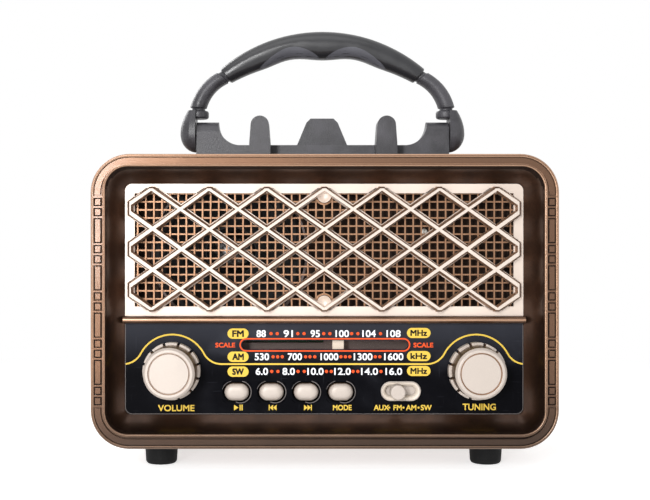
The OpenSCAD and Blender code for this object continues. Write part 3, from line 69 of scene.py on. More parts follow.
def srgb(red: int, green: int, blue: int) -> Colour:
    """The linear colour of a screen colour: a straight foot, and above it the power 2.4.

    Args:
        red: Red part, from 0 to 255.
        green: Green part.
        blue: Blue part.

    Returns:
        The three parts from 0 to 1.
    """
    parts = np.array([red, green, blue]) / 255
    linear = np.where(parts <= 0.04045, parts / 12.92, ((parts + 0.055) / 1.055) ** 2.4)
    return tuple(float(p) for p in linear)


class Field:
    """A value that varies over a surface. Python's operators on it add Math nodes to its graph."""

    def __init__(self, graph: "Graph", socket: bpy.types.NodeSocket) -> None:
        """Keeps the graph and the socket that gives the value."""
        self.graph = graph
        self.socket = socket

    def _math(self, operation: str, first: Value, second: Value = 0.0) -> "Field":
        """One Math node on two values."""
        return self.graph.node("ShaderNodeMath", {"operation": operation}, {0: first, 1: second})

    def __add__(self, other: Value) -> "Field":
        """Sum."""
        return self._math("ADD", self, other)

    __radd__ = __add__

    def __sub__(self, other: Value) -> "Field":
        """Difference."""
        return self._math("SUBTRACT", self, other)

    def __rsub__(self, other: Value) -> "Field":
        """Difference from a number."""
        return self._math("SUBTRACT", other, self)

    def __mul__(self, other: Value) -> "Field":
        """Product."""
        return self._math("MULTIPLY", self, other)

    __rmul__ = __mul__

    def __or__(self, other: Value) -> "Field":
        """The larger one."""
        return self._math("MAXIMUM", self, other)

    def ramp(self, low: float, high: float) -> "Field":
        """0 below low, 1 above high and smooth in between."""
        return self.graph.node(
            "ShaderNodeMapRange", {"interpolation_type": "SMOOTHSTEP"},
            {"Value": self, "From Min": low, "From Max": high},
        )


class Graph:
    """The node tree of a material or of the world, which reads Object coordinates."""

    def __init__(self, owner: bpy.types.Material | bpy.types.World) -> None:
        """Empties the owner's tree and reads its place.

        Args:
            owner: The material or the world.
        """
        self.owner = owner
        self.owner.use_nodes = True
        self.tree = self.owner.node_tree
        self.tree.nodes.clear()
        self.place = self.node("ShaderNodeTexCoord", out="Object")

    def node(
        self,
        kind: str,
        settings: dict[str, object] | None = None,
        inputs: dict[str | int, Value] | None = None,
        out: str | int = 0,
    ) -> Field:
        """Adds any node.

        Args:
            kind: The node's type.
            settings: Properties that are set first, such as a Math node's operation.
            inputs: Values or fields by socket name or number.
            out: The output that is wanted.

        Returns:
            The field of that output.
        """
        made = self.tree.nodes.new(kind)
        for name, value in (settings or {}).items():
            setattr(made, name, value)
        for key, value in (inputs or {}).items():
            if isinstance(value, Field):
                self.tree.links.new(value.socket, made.inputs[key])
            elif isinstance(value, (int, float)):
                made.inputs[key].default_value = value
            else:
                size = len(made.inputs[key].default_value)
                made.inputs[key].default_value = (*value, 1.0)[:size]
        return Field(self, made.outputs[out])

    def noise(self, grain: float, detail: float = 2.0, stretch: Sequence[float] = (1, 1, 1)) -> Field:
        """Smooth noise over the surface.

        Args:
            grain: Width of a blotch in metres.
            detail: How many finer noises are added.
            stretch: How much longer a blotch is along each axis.

        Returns:
            A field from 0 to 1.
        """
        spread = self.node(
            "ShaderNodeMapping", {"vector_type": "POINT"},
            {"Vector": self.place, "Scale": tuple(1 / s for s in stretch)},
        )
        return self.node("ShaderNodeTexNoise", None, {"Vector": spread, "Scale": 1 / grain, "Detail": detail})

    def axis(self, name: str) -> Field:
        """One Object coordinate: X, Y or Z."""
        return self.node("ShaderNodeSeparateXYZ", None, {0: self.place}, name)

    def mix(self, factor: Value, first: Value, second: Value) -> Field:
        """Goes from the first colour to the second one as the factor rises from 0 to 1."""
        return self.node("ShaderNodeMix", {"data_type": "RGBA"}, {0: factor, 6: first, 7: second}, 2)

    def finish(self, bump: Field | None = None, depth: float = 0.0, **sockets: Value) -> bpy.types.Material:
        """Closes the graph with one Principled shader.

        Args:
            bump: Height field of the relief, from 0 to 1.
            depth: Height of the relief in metres.
            sockets: Values of the shader's sockets, with _ for a space.

        Returns:
            The finished material.
        """
        values = {name.replace("_", " "): value for name, value in sockets.items()}
        if bump is not None:
            relief = {"Height": bump, "Distance": depth, "Strength": 1.0}
            values["Normal"] = self.node("ShaderNodeBump", None, relief)
        shader = self.node("ShaderNodeBsdfPrincipled", None, values)
        return self.lead(shader)

    def lead(self, shader: Field, kind: str = "Material") -> bpy.types.Material | bpy.types.World:
        """Leads a shader to the surface.

        Args:
            shader: The shader.
            kind: What the owner is, Material or World.

        Returns:
            The owner.
        """
        end = self.tree.nodes.new("ShaderNodeOutput" + kind)
        self.tree.links.new(shader.socket, end.inputs["Surface"])
        return self.owner


@dataclass(frozen=True)
class Moulded:
    """Moulded plastic, rubber, paper or board: a fine grain, faint flow marks and worn, greyer places."""

    name: str
    colour: Colour
    roughness: float = 0.45
    grain: float = 0.35 * MM
    depth: float = 0.02 * MM
    mottle: float = 0.12
    coat: float = 0.0
    shine: float = 0.5
    # Emission for painted light: it lifts a part that sits in shade.
    glow: float = 0.0

    def build(self) -> bpy.types.Material:
        """Base colour times (1 plus or less mottle), roughness with smudges and a relief of fine grain.

        Returns:
            The material.
        """
        graph = Graph(bpy.data.materials.new(self.name))
        flow = graph.noise(9 * MM, 3.0).ramp(0.35, 0.7)
        fine = graph.noise(self.grain, 2.0)
        dark = tuple(c * (1 - self.mottle) for c in self.colour)
        light = tuple(min(1.0, c * (1 + self.mottle)) for c in self.colour)
        tone = graph.mix(flow * 0.6 + fine.ramp(0.3, 0.7) * 0.4, dark, light)
        return graph.finish(
            fine, self.depth, Base_Color=tone, Roughness=self.roughness + (flow - 0.5) * 0.1,
            Specular_IOR_Level=self.shine, Coat_Weight=self.coat, Coat_Roughness=0.12,
            Emission_Color=tone, Emission_Strength=self.glow,
        )


@dataclass(frozen=True)
class MetallicPaint:
    """Metal-flake paint: bright flakes a tenth of a millimetre wide under a thin clear coat."""

    name: str
    colour: Colour
    flake_colour: Colour
    roughness: float = 0.34
    metallic: float = 0.75
    flakes: float = 0.16 * MM
    coat: float = 0.25
    sheen: float = 0.12
    sheen_grain: float = 14 * MM
    # Painted shade: the paint darkens from its top height down to the foot.
    painted_shade: float = 0.0
    painted_shade_foot: float = 4 * MM
    painted_shade_top: float = 55 * MM
    painted_shade_blur: float = 4 * MM

    def build(self) -> bpy.types.Material:
        """The base turns to the flake colour where fine noise peaks; broad noise is a faint haze, a painted
        reflection at full sheen.

        A painted shade deepens from its top down to the foot, so the low parts are the darkest.

        Returns:
            The material.
        """
        graph = Graph(bpy.data.materials.new(self.name))
        flakes = graph.noise(self.flakes, 1.0).ramp(0.45, 0.72)
        haze = graph.noise(self.sheen_grain, 3.0).ramp(0.3, 0.75)
        tone = graph.mix(flakes * 0.35, self.colour, self.flake_colour)
        worn_and_shaded = graph.mix(haze * self.sheen, tone, tuple(c * 0.62 for c in self.colour))
        peel = graph.noise(1.6 * MM, 1.0)
        # Painted shade: darker towards the foot, its edge blurred by the haze.
        height = graph.axis("Z") + (haze - 0.5) * self.painted_shade_blur
        low = 1 - height.ramp(self.painted_shade_foot, self.painted_shade_top)
        worn_and_shaded = graph.mix(low * self.painted_shade, worn_and_shaded, tuple(c * 0.2 for c in self.colour))
        return graph.finish(
            peel * 0.7 + flakes * 0.3, 0.012 * MM, Base_Color=worn_and_shaded, Metallic=self.metallic,
            Roughness=self.roughness + flakes * 0.06 + haze * 0.05,
            Coat_Weight=self.coat, Coat_Roughness=0.15,
        )


@dataclass(frozen=True)
class GlossPanel:
    """High-gloss plastic with hairline scratches in two directions and a painted reflection that pales it
    towards the top.
    """

    name: str
    colour: Colour
    scratch_colour: Colour
    roughness: float = 0.1
    scratches: float = 0.5
    alpha: float = 1.0
    shine: float = 0.2
    painted_reflection: float = 0.0
    painted_reflection_low: float = 40 * MM
    painted_reflection_high: float = 64 * MM

    def build(self) -> bpy.types.Material:
        """Scratches are thresholds on two long stretched noises.

        Smudges add roughness, and a painted reflection grows from its low height to its high one.

        Returns:
            The material.
        """
        graph = Graph(bpy.data.materials.new(self.name))
        first = graph.noise(0.5 * MM, 1.0, (22, 22, 1)).ramp(0.7, 0.76)
        second = graph.noise(0.45 * MM, 1.0, (1, 1, 26)).ramp(0.71, 0.77)
        smudge = graph.noise(16 * MM, 4.0).ramp(0.45, 0.8)
        marks = (first + second) * self.scratches
        # Painted reflection: paler towards the top.
        painted_reflection = (graph.axis("Z") + smudge * 8 * MM).ramp(self.painted_reflection_low, self.painted_reflection_high) * self.painted_reflection
        tone = graph.mix(marks * 0.35 + smudge * 0.05 + painted_reflection, self.colour, self.scratch_colour)
        return graph.finish(
            marks, 0.002 * MM, Base_Color=tone, Roughness=self.roughness + smudge * 0.08 + marks * 0.1,
            Alpha=self.alpha, Specular_IOR_Level=self.shine,
        )


@dataclass(frozen=True)
class BareMetal:
    """Turned, brushed or plated metal with fine lines along one axis."""

    name: str
    colour: Colour
    roughness: float = 0.25
    lines: tuple[float, float, float] = (1, 1, 30)

    def build(self) -> bpy.types.Material:
        """Fine noise stretched along the brushing gives the relief and the roughness.

        Returns:
            The material.
        """
        graph = Graph(bpy.data.materials.new(self.name))
        brushed = graph.noise(0.12 * MM, 2.0, self.lines)
        stain = graph.noise(6 * MM, 3.0).ramp(0.4, 0.8)
        tone = graph.mix(brushed * 0.3 + stain * 0.15, self.colour, tuple(c * 0.6 for c in self.colour))
        return graph.finish(
            brushed, 0.004 * MM, Base_Color=tone, Metallic=1.0,
            Roughness=self.roughness + brushed * 0.1 + stain * 0.06,
        )


@dataclass(frozen=True)
class Ink:
    """Printed ink: an even colour that thins at a fine screen's dots."""

    name: str
    colour: Colour

    def build(self) -> bpy.types.Material:
        """A fine noise thins the ink a little; a broad one varies its gloss.

        Returns:
            The material.
        """
        graph = Graph(bpy.data.materials.new(self.name))
        screen = graph.noise(0.12 * MM, 1.0).ramp(0.35, 0.75)
        wear = graph.noise(2.5 * MM, 3.0).ramp(0.62, 0.85)
        tone = graph.mix(screen * 0.12 + wear * 0.15, self.colour, tuple(c * 0.55 for c in self.colour))
        return graph.finish(
            screen, 0.003 * MM, Base_Color=tone, Roughness=0.5 + wear * 0.1, Specular_IOR_Level=0.1,
        )


Finish = Moulded | MetallicPaint | GlossPanel | BareMetal | Ink
Chooser = Callable[[np.ndarray, np.ndarray], np.ndarray]

# The rim gets painted shade, darkest at the foot.
BRONZE = MetallicPaint(
    "bronze_rim_paint", srgb(92, 66, 49), srgb(170, 130, 100),
    roughness=0.36, metallic=0.9, coat=0.4, painted_shade=0.9,
)
# Painted highlight: lighter bronze on the bevels and the divider's crest, also with painted shade at the
# foot.
BRONZE_HIGHLIGHT = MetallicPaint(
    "bronze_painted_highlight", srgb(164, 128, 102), srgb(226, 194, 168),
    roughness=0.36, metallic=0.8, coat=0.4, painted_shade=0.85,
)
# Painted shade in the rim's grooves.
GROOVE_SHADE = Moulded(
    "rim_groove_painted_shade", srgb(34, 22, 17),
    roughness=0.6, grain=0.2 * MM, depth=0.01 * MM, mottle=0.25, shine=0.1,
)
# Its full sheen paints blotchy reflections into the cove, and its shade setting gives painted shade towards
# the foot.
COVE = MetallicPaint(
    "cove_brown_gloss", srgb(66, 46, 35), srgb(120, 84, 62),
    roughness=0.3, metallic=0.8, flakes=0.2 * MM, coat=0.1, sheen=1.0, sheen_grain=11 * MM, painted_shade=0.35,
)
CHAMPAGNE = MetallicPaint(
    "champagne_satin", srgb(220, 205, 193), srgb(238, 224, 210),
    roughness=0.4, metallic=0.22, flakes=0.14 * MM, coat=0.0,
)
BAR_FACE = MetallicPaint(
    "champagne_bar", srgb(203, 190, 179), srgb(222, 208, 195),
    roughness=0.42, metallic=0.18, flakes=0.14 * MM, coat=0.0,
)
KNOB_FACE = MetallicPaint(
    "champagne_knob", srgb(182, 171, 162), srgb(204, 192, 181),
    roughness=0.42, metallic=0.18, flakes=0.14 * MM, coat=0.0,
)
# Painted shade: darker champagne for the bars' sides, the knobs' lug gaps and front groove, and the buttons'
# feet.
SHADED = MetallicPaint(
    "champagne_painted_shade", srgb(150, 116, 90), srgb(196, 164, 138),
    roughness=0.42, metallic=0.6, flakes=0.14 * MM, coat=0.0,
)
# Painted shade on the knobs' side wall.
KNOB_SIDE_SHADE = MetallicPaint(
    "knob_side_painted_shade", srgb(112, 88, 68), srgb(176, 150, 126),
    roughness=0.3, metallic=0.8, flakes=0.14 * MM, coat=0.0,
)
IVORY_DISH = Moulded(
    "cream_dish", srgb(216, 204, 190),
    roughness=0.4, grain=0.3 * MM, depth=0.008 * MM, mottle=0.06,
)
CABINET = MetallicPaint(
    "cabinet_brown_paint", srgb(96, 66, 48), srgb(160, 116, 86),
    roughness=0.36, metallic=0.5,
)
MESH_WIRE = MetallicPaint(
    "bronze_mesh_wire", srgb(138, 104, 80), srgb(214, 172, 138),
    roughness=0.38, metallic=0.8, flakes=0.1 * MM, coat=0.0,
)
# Its painted reflection pales the panel's upper part.
FASCIA = GlossPanel(
    "black_gloss_fascia", srgb(8, 8, 12), srgb(84, 86, 96),
    roughness=0.22, scratches=0.35, shine=0.03, painted_reflection=0.3,
)
WINDOW = GlossPanel(
    "dial_window", srgb(60, 50, 46), srgb(160, 150, 146),
    roughness=0.08, scratches=0.2, alpha=0.08, shine=0.05,
)
BAFFLE = Moulded(
    "baffle_brown_board", srgb(48, 36, 30),
    roughness=0.7, grain=0.3 * MM, depth=0.03 * MM, mottle=0.25, shine=0.1,
)
# Its faint glow is painted light on the insides seen through the mesh and the window.
DARK_INSIDE = Moulded("chassis_dark_plastic", srgb(112, 94, 88), roughness=0.5, glow=0.03)
CONE = Moulded(
    "speaker_cone_paper", srgb(22, 21, 22),
    roughness=0.75, grain=0.25 * MM, depth=0.05 * MM, mottle=0.3,
)
CAP = Moulded(
    "dust_cap_gloss", srgb(16, 16, 17),
    roughness=0.2, grain=0.5 * MM, depth=0.005 * MM, mottle=0.1, coat=0.6,
)
RUBBER = Moulded(
    "black_rubber", srgb(13, 13, 14),
    roughness=0.7, grain=0.3 * MM, depth=0.03 * MM, mottle=0.2, shine=0.2,
)
HANDLE_TEXTURED = Moulded(
    "handle_textured_black", srgb(62, 61, 65),
    roughness=0.4, grain=0.5 * MM, depth=0.1 * MM, mottle=0.45, shine=0.4,
)
HANDLE_SMOOTH = Moulded(
    "handle_satin_black", srgb(32, 32, 35),
    roughness=0.34, grain=0.6 * MM, depth=0.01 * MM, mottle=0.12, shine=0.55,
)
# Painted highlight: lighter patches where the grip's finger facets catch the light.
HANDLE_FACET_HIGHLIGHT = Moulded(
    "grip_facet_painted_highlight", srgb(84, 84, 90),
    roughness=0.45, grain=0.4 * MM, depth=0.03 * MM, mottle=0.14, shine=0.3,
)
SOCKET_BLACK = Moulded("socket_black", srgb(28, 28, 30), roughness=0.5)
WELL = Moulded("button_well_black", srgb(9, 9, 11), roughness=0.6, shine=0.05)
# Painted light: a lighter cream and a glow lift the pointer out of the shade of its slot.
POINTER = Moulded(
    "pointer_cream", srgb(244, 226, 206),
    roughness=0.4, grain=0.3 * MM, depth=0.006 * MM, mottle=0.05, glow=0.25,
)
IVORY = Moulded("ivory_moulding", srgb(228, 220, 196), roughness=0.45)
BOARD = GlossPanel(
    "board_green", srgb(30, 96, 52), srgb(70, 140, 90),
    roughness=0.35, scratches=0.3,
)
FERRITE = Moulded(
    "ferrite_grey", srgb(58, 58, 60),
    roughness=0.6, grain=0.2 * MM, depth=0.03 * MM, mottle=0.2,
)
CELL = Moulded(
    "cell_wrap_blue", srgb(70, 120, 170),
    roughness=0.35, grain=0.8 * MM, depth=0.004 * MM, mottle=0.06,
)
LED = Moulded(
    "led_clear_lens", srgb(250, 246, 236),
    roughness=0.12, grain=0.4 * MM, depth=0.002 * MM, mottle=0.03, coat=0.8,
)
CORD = Moulded(
    "waxed_dial_cord", srgb(196, 182, 140),
    roughness=0.7, grain=0.18 * MM, depth=0.06 * MM, mottle=0.25,
)
STEEL = BareMetal("zinc_plated_steel", srgb(196, 196, 200), roughness=0.3)
CONTACT = BareMetal("nickel_contact", srgb(206, 202, 192), roughness=0.28, lines=(30, 1, 1))
CHROME = BareMetal("antenna_chrome", srgb(222, 222, 224), roughness=0.1, lines=(40, 1, 1))
COPPER = BareMetal("copper_winding", srgb(196, 118, 74), roughness=0.3, lines=(1, 30, 30))
YELLOW_INK = Ink("yellow_ink", srgb(222, 188, 78))
RED_INK = Ink("red_ink", srgb(226, 84, 38))
WHITE_INK = Ink("white_ink", srgb(236, 237, 242))
BLACK_INK = Ink("black_ink", srgb(24, 22, 20))
# Painted highlight: light grey for the panel's edge and the wells' lit rims.
PANEL_EDGE_HIGHLIGHT = Ink("panel_edge_painted_highlight", srgb(112, 106, 104))


@dataclass
class Wardrobe:
    """Builds each finish once and puts it on nodes and pieces."""

    made: dict[str, bpy.types.Material] = field(default_factory=dict)

    def material(self, finish: Finish) -> bpy.types.Material:
        """The material of a finish, built when it is first asked for.

        Args:
            finish: The finish.

        Returns:
            Its material.
        """
        if finish.name not in self.made:
            self.made[finish.name] = finish.build()
        return self.made[finish.name]

    def dress(self, piece: bpy.types.Object, *finishes: Finish) -> None:
        """Replaces the material slots of a piece.

        Args:
            piece: The object.
            finishes: Its new finishes, in the order of their numbers.
        """
        piece.data.materials.clear()
        for finish in finishes:
            piece.data.materials.append(self.material(finish))

    def dress_nodes(self, finish: Finish, nodes: Iterable[str]) -> None:
        """Gives carried-over CAD nodes a finish without a change to their meshes.

        Args:
            finish: The finish.
            nodes: Names of the nodes.
        """
        for name in nodes:
            node = frame["nodes"][name]
            if not node.material_slots:
                node.data.materials.append(None)
            for slot in node.material_slots:
                slot.link = "OBJECT"
                slot.material = self.material(finish)


WARDROBE = Wardrobe()
NODE_BODY = {n: body for body, names in frame["record"]["behaviour"]["bodies"].items() for n in names}


def surface(name: str, vertices: np.ndarray, faces: np.ndarray | Sequence[Sequence[int]]) -> bpy.types.Object:
    """Puts computed points and faces into a new mesh object at the origin.

    Args:
        name: Name of the object and of its mesh.
        vertices: One row (x, y, z) for each point.
        faces: The numbers of each face's points.

    Returns:
        The new object, linked to the scene.
    """
    mesh = bpy.data.meshes.new(name)
    corners = faces.tolist() if isinstance(faces, np.ndarray) else faces
    mesh.from_pydata(vertices.tolist(), [], [tuple(corner) for corner in corners])
    mesh.validate()
    piece = bpy.data.objects.new(name, mesh)
    bpy.context.scene.collection.objects.link(piece)
    return piece


def grid_faces(rows: int, columns: int, closed: bool = True) -> np.ndarray:
    """Quads of a grid of points: each joins a point, the next one across and those two of the next row.

    Args:
        rows: Number of rows.
        columns: Points in each row.
        closed: Whether the last point of a row joins the first one.

    Returns:
        The four numbers of each quad's points.
    """
    j = np.arange(columns if closed else columns - 1)
    i, j = (a.ravel() for a in np.meshgrid(np.arange(rows - 1), j, indexing="ij"))
    row, below, right = i * columns, (i + 1) * columns, (j + 1) % columns
    return np.stack([row + j, row + right, below + right, below + j], axis=1)


def middle_of_front() -> float:
    """Height of the front's middle above the floor."""
    low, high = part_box("front_frame")
    return (low.z + high.z) / 2


def settle(piece: bpy.types.Object, body: str) -> bpy.types.Object:
    """Lets a piece ride on its body and reports it.

    Args:
        piece: The piece.
        body: Name of the body that carries it.

    Returns:
        The same piece.
    """
    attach(piece, body)
    LOG.info("%s rides on %s", piece.name, body)
    return piece


def paint_faces(piece: bpy.types.Object, finishes: Sequence[Finish], choose: Chooser) -> None:
    """Gives each face one of the finishes.

    Args:
        piece: The object whose faces are painted.
        finishes: The finishes, in the order of their numbers.
        choose: Maps the faces' centres and normals to the finishes' numbers.
    """
    WARDROBE.dress(piece, *finishes)
    count = len(piece.data.polygons)
    centres, normals = np.empty(count * 3), np.empty(count * 3)
    piece.data.polygons.foreach_get("center", centres)
    piece.data.polygons.foreach_get("normal", normals)
    numbers = choose(centres.reshape(-1, 3), normals.reshape(-1, 3))
    piece.data.polygons.foreach_set("material_index", numbers.astype(np.int32))


def smooth_by_angle(mesh: bpy.types.Mesh, angle: float) -> None:
    """Smooth shading with crisp edges above that angle in degrees."""
    mesh.shade_smooth()
    mesh.set_sharp_from_angle(angle=math.radians(angle))


def softened_copy(node: str, width: float, segments: int = 2, limit: float = 30.0) -> bpy.types.Object:
    """A stand-in for a CAD node whose edges have small round bevels that catch the light.

    Args:
        node: The CAD node.
        width: Width of the bevels in metres, or 0 for a copy with smoother shading alone.
        segments: Faces across a bevel.
        limit: Least angle between two faces whose edge is bevelled, in degrees.

    Returns:
        The new piece, which replaces the node and rides on its body.
    """
    mesh = frame["nodes"][node].data.copy()
    mesh.name = node + "_finished"
    work = bmesh.new()
    work.from_mesh(mesh)
    bmesh.ops.remove_doubles(work, verts=work.verts, dist=MERGE_GAP)
    bmesh.ops.dissolve_limit(work, angle_limit=math.radians(EVEN), verts=work.verts, edges=work.edges)
    work.to_mesh(mesh)
    work.free()
    piece = bpy.data.objects.new(mesh.name, mesh)
    bpy.context.scene.collection.objects.link(piece)
    if width > 0:
        bevel = piece.modifiers.new("round_edges", "BEVEL")
        bevel.width = width
        bevel.segments = segments
        bevel.limit_method = "ANGLE"
        bevel.angle_limit = math.radians(limit)
        bevel.use_clamp_overlap = True
    smooth_by_angle(mesh, limit if width > 0 else CREASE)
    weigh = piece.modifiers.new("weighted_normals", "WEIGHTED_NORMAL")
    weigh.keep_sharp = True
    apply_modifiers(piece)
    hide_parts(node)
    return settle(piece, NODE_BODY[node])


def drop_faces(piece: bpy.types.Object, gone: Callable[[Vector], bool]) -> None:
    """Takes faces off a piece.

    Args:
        piece: The piece.
        gone: Tells from a face's middle whether the face goes.
    """
    work = bmesh.new()
    work.from_mesh(piece.data)
    bmesh.ops.delete(work, geom=[f for f in work.faces if gone(f.calc_center_median())], context="FACES")
    work.to_mesh(piece.data)
    work.free()


def apply_modifiers(piece: bpy.types.Object) -> None:
    """Keeps the mesh that the modifiers give and takes them off.

    Args:
        piece: The object whose modifiers are applied.
    """
    bpy.context.view_layer.update()
    evaluated = piece.evaluated_get(bpy.context.evaluated_depsgraph_get())
    mesh = bpy.data.meshes.new_from_object(evaluated)
    piece.modifiers.clear()
    piece.data = mesh


@dataclass(frozen=True)
class Softbox:
    """A rectangular lamp: its place and size in metres and its power in watts."""

    name: str
    place: tuple[float, float, float]
    size: tuple[float, float]
    power: float


SOFTBOXES = (
    Softbox("key_left", (-0.62, -0.9, 0.45), (0.35, 0.5), 0.9),
    Softbox("strip_left", (-0.31, -0.98, 0.3), (0.14, 0.5), 8.0),
    Softbox("overhead", (-0.15, -0.35, 1.0), (0.9, 0.6), 2.4),
    Softbox("fill_right", (0.95, -0.7, 0.3), (0.35, 0.6), 1.0),
    Softbox("back_left", (-0.7, 0.9, 0.7), (0.6, 0.6), 5.0),
)


@dataclass(frozen=True)
class Studio:
    """Camera, lamps, floor and white surroundings, placed from the photograph's vanishing point."""

    lens_mm: float = 64.94
    sensor_mm: float = 36.0
    camera_x: float = -12.75 * MM
    camera_z: float = 97.1 * MM
    camera_gap: float = 500 * MM
    shift_x: float = 0.0462
    shift_y: float = -0.0077
    clip_start: float = 0.02
    aim: tuple[float, float, float] = (0.0, 0.0, 0.08)
    floor_size: float = 30.0
    floor_near: float = 0.16
    floor_far: float = 0.5
    floor_glow: float = 0.66
    floor_grain: float = 0.4
    floor_tones: tuple[float, float] = (0.88, 0.92)
    world_strength: float = 0.38

    def build(self) -> None:
        """Makes all of it."""
        self.camera()
        for softbox in SOFTBOXES:
            self.lamp(softbox)
        self.world()
        self.floor()

    def camera(self) -> None:
        """A level camera that looks along +Y; the shift brings the radio to its place in the frame."""
        data = bpy.data.cameras.new("photo_camera")
        data.lens = self.lens_mm
        data.sensor_width = self.sensor_mm
        data.shift_x = self.shift_x
        data.shift_y = self.shift_y
        data.clip_start = self.clip_start
        camera = bpy.data.objects.new("photo_camera", data)
        bpy.context.scene.collection.objects.link(camera)
        camera.location = (self.camera_x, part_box("front_frame")[0].y - self.camera_gap, self.camera_z)
        camera.rotation_euler = (math.pi / 2, 0, 0)
        bpy.context.scene.camera = camera

    def lamp(self, softbox: Softbox) -> None:
        """Hangs a softbox so that it faces the radio.

        Args:
            softbox: The lamp.
        """
        data = bpy.data.lights.new(softbox.name, "AREA")
        data.shape = "RECTANGLE"
        data.size, data.size_y = softbox.size
        data.energy = softbox.power
        lamp = bpy.data.objects.new(softbox.name, data)
        bpy.context.scene.collection.objects.link(lamp)
        lamp.location = softbox.place
        lamp.rotation_euler = (Vector(self.aim) - Vector(softbox.place)).to_track_quat("-Z", "Y").to_euler()

    def world(self) -> None:
        """Plain light all round, and white for the camera, glossy and transmission rays.

        The mix is the largest of the three kinds of ray: 1 where a ray is any of them.
        """
        graph = Graph(bpy.data.worlds.new("white_studio"))
        camera, glossy, through = (
            graph.node("ShaderNodeLightPath", out=f"Is {kind} Ray")
            for kind in ("Camera", "Glossy", "Transmission")
        )
        plain, white = (
            graph.node("ShaderNodeBackground", None, {"Color": WHITE, "Strength": strength})
            for strength in (self.world_strength, 1.0)
        )
        seen = camera | glossy | through
        mix = graph.node("ShaderNodeMixShader", None, {0: seen, 1: plain, 2: white})
        bpy.context.scene.world = graph.lead(mix, "World")

    def floor(self) -> None:
        """A pale plane under the feet that melts into the white surroundings but keeps the shadow."""
        half = self.floor_size / 2
        corners = np.array([(-half, -half, 0), (half, -half, 0), (half, half, 0), (-half, half, 0)])
        plane = surface("studio_floor", corners, [(0, 1, 2, 3)])
        graph = Graph(bpy.data.materials.new("pale_floor"))
        cloud = graph.noise(self.floor_grain)
        tone = graph.mix(cloud, *((grey, grey, grey) for grey in self.floor_tones))
        pale = graph.node("ShaderNodeBsdfPrincipled", None, {
            "Base Color": tone, "Roughness": 0.7 + cloud * 0.1, "Specular IOR Level": 0.1,
            "Emission Color": WHITE, "Emission Strength": self.floor_glow,
        })
        white = graph.node("ShaderNodeEmission", None, {"Color": WHITE, "Strength": 1.0})
        distance = graph.node("ShaderNodeVectorMath", {"operation": "LENGTH"}, {0: graph.place}, "Value")
        melt = distance.ramp(self.floor_near, self.floor_far)
        mix = graph.node("ShaderNodeMixShader", None, {0: melt, 1: pale, 2: white})
        plane.data.materials.append(graph.lead(mix))


@dataclass
class FrontFrame:
    """The bronze rim with beads and rungs, the dark cove inside it and the bead between the panels."""

    cove_width: float = 6.7 * MM
    side_band: float = 12.9 * MM
    panel_depth: float = 12 * MM
    groove_depth: float = 0.45 * MM
    divider_rise: float = 3.0 * MM
    divider_z: float = -8.5 * MM
    divider_half: float = 1.6 * MM
    divider_margin: tuple[float, float] = (0.1 * MM, 0.5 * MM)
    outer_bead: float = 1.6 * MM
    cove_start: float = 1.0 * MM
    edge_depth: float = 0.6 * MM
    corner: float = 16.5 * MM
    crest_facing: float = 0.975
    flat_facing: float = 0.97
    edge_facing: float = 0.2

    def build(self) -> None:
        """Softens the frame's edges and paints the cove darker than the rim, and the grooves with painted
        shade.
        """
        piece = softened_copy("front_frame", 0.16 * MM, segments=3, limit=28)
        paint_faces(piece, (BRONZE, COVE, GROOVE_SHADE, BRONZE_HIGHLIGHT), self.choose)

    def choose(self, centres: np.ndarray, normals: np.ndarray) -> np.ndarray:
        """A face is the cove's inside the inner bead, or a groove's behind the beads' fronts.

        The divider's top and the slanting edges near the front get a painted highlight.
        The inset is the depth inside the outline: the corner radius less the distance from the rounded
        rectangle's core, or the distance to the nearest side where a point lies within the core.

        Args:
            centres: The faces' middles, one row for each.
            normals: The faces' normals.

        Returns:
            The number of each face's finish.
        """
        low, high = (np.array(v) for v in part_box("front_frame"))
        y, z = centres[:, 1], centres[:, 2]
        core = (high - low)[[0, 2]] / 2 - self.corner
        out = np.abs(centres[:, [0, 2]] - ((low + high) / 2)[[0, 2]]) - core
        inset = self.corner - np.hypot(*np.maximum(out, 0).T) - np.minimum(out.max(axis=1), 0)
        behind = y - low[1]
        cove = (inset > self.side_band - self.cove_width) & (behind > self.cove_start)
        from_divider = np.abs(z - (low[2] + high[2]) / 2 - self.divider_z)
        beside, before = self.divider_margin
        divider = (inset > self.side_band + beside) & (from_divider < self.divider_half)
        divider &= behind > self.panel_depth - self.divider_rise - before
        # Finish 3 is a painted highlight on the divider's crest and the front bevels.
        crest = divider & (normals[:, 1] < -self.crest_facing)
        # Finish 2 is painted shade in the grooves behind the beads' fronts.
        groove = (inset > self.outer_bead) & (inset < self.side_band - self.cove_width)
        groove &= (behind > self.groove_depth) & (normals[:, 1] < 0.5)
        tilt = np.max(np.abs(normals), axis=1)
        edge = (tilt < self.flat_facing) & (behind < self.edge_depth) & (normals[:, 1] < -self.edge_facing)
        return np.select([crest, divider, cove, groove, edge], [3, 0, 1, 2, 3], 0)


@dataclass
class Cabinet:
    """Shell, rear cover, battery door and feet, with the screws, the cell and the sockets in them."""

    edge: float = 0.4 * MM
    door_edge: float = 0.2 * MM
    foot_edge: float = 0.5 * MM

    def build(self) -> None:
        """Softens the outer mouldings and dresses what they carry."""
        for node in ("cabinet_shell", "rear_cover", "battery_door"):
            edge = self.door_edge if node == "battery_door" else self.edge
            WARDROBE.dress(softened_copy(node, edge), CABINET)
        WARDROBE.dress(softened_copy("feet", self.foot_edge, segments=3), RUBBER)
        WARDROBE.dress_nodes(STEEL, ("foot_screws", "case_screws", "base_screws"))
        WARDROBE.dress_nodes(CELL, ("battery_cell",))
        WARDROBE.dress_nodes(CONTACT, ("battery_contacts", "usb_sockets"))
        WARDROBE.dress_nodes(SOCKET_BLACK, ("aux_socket",))


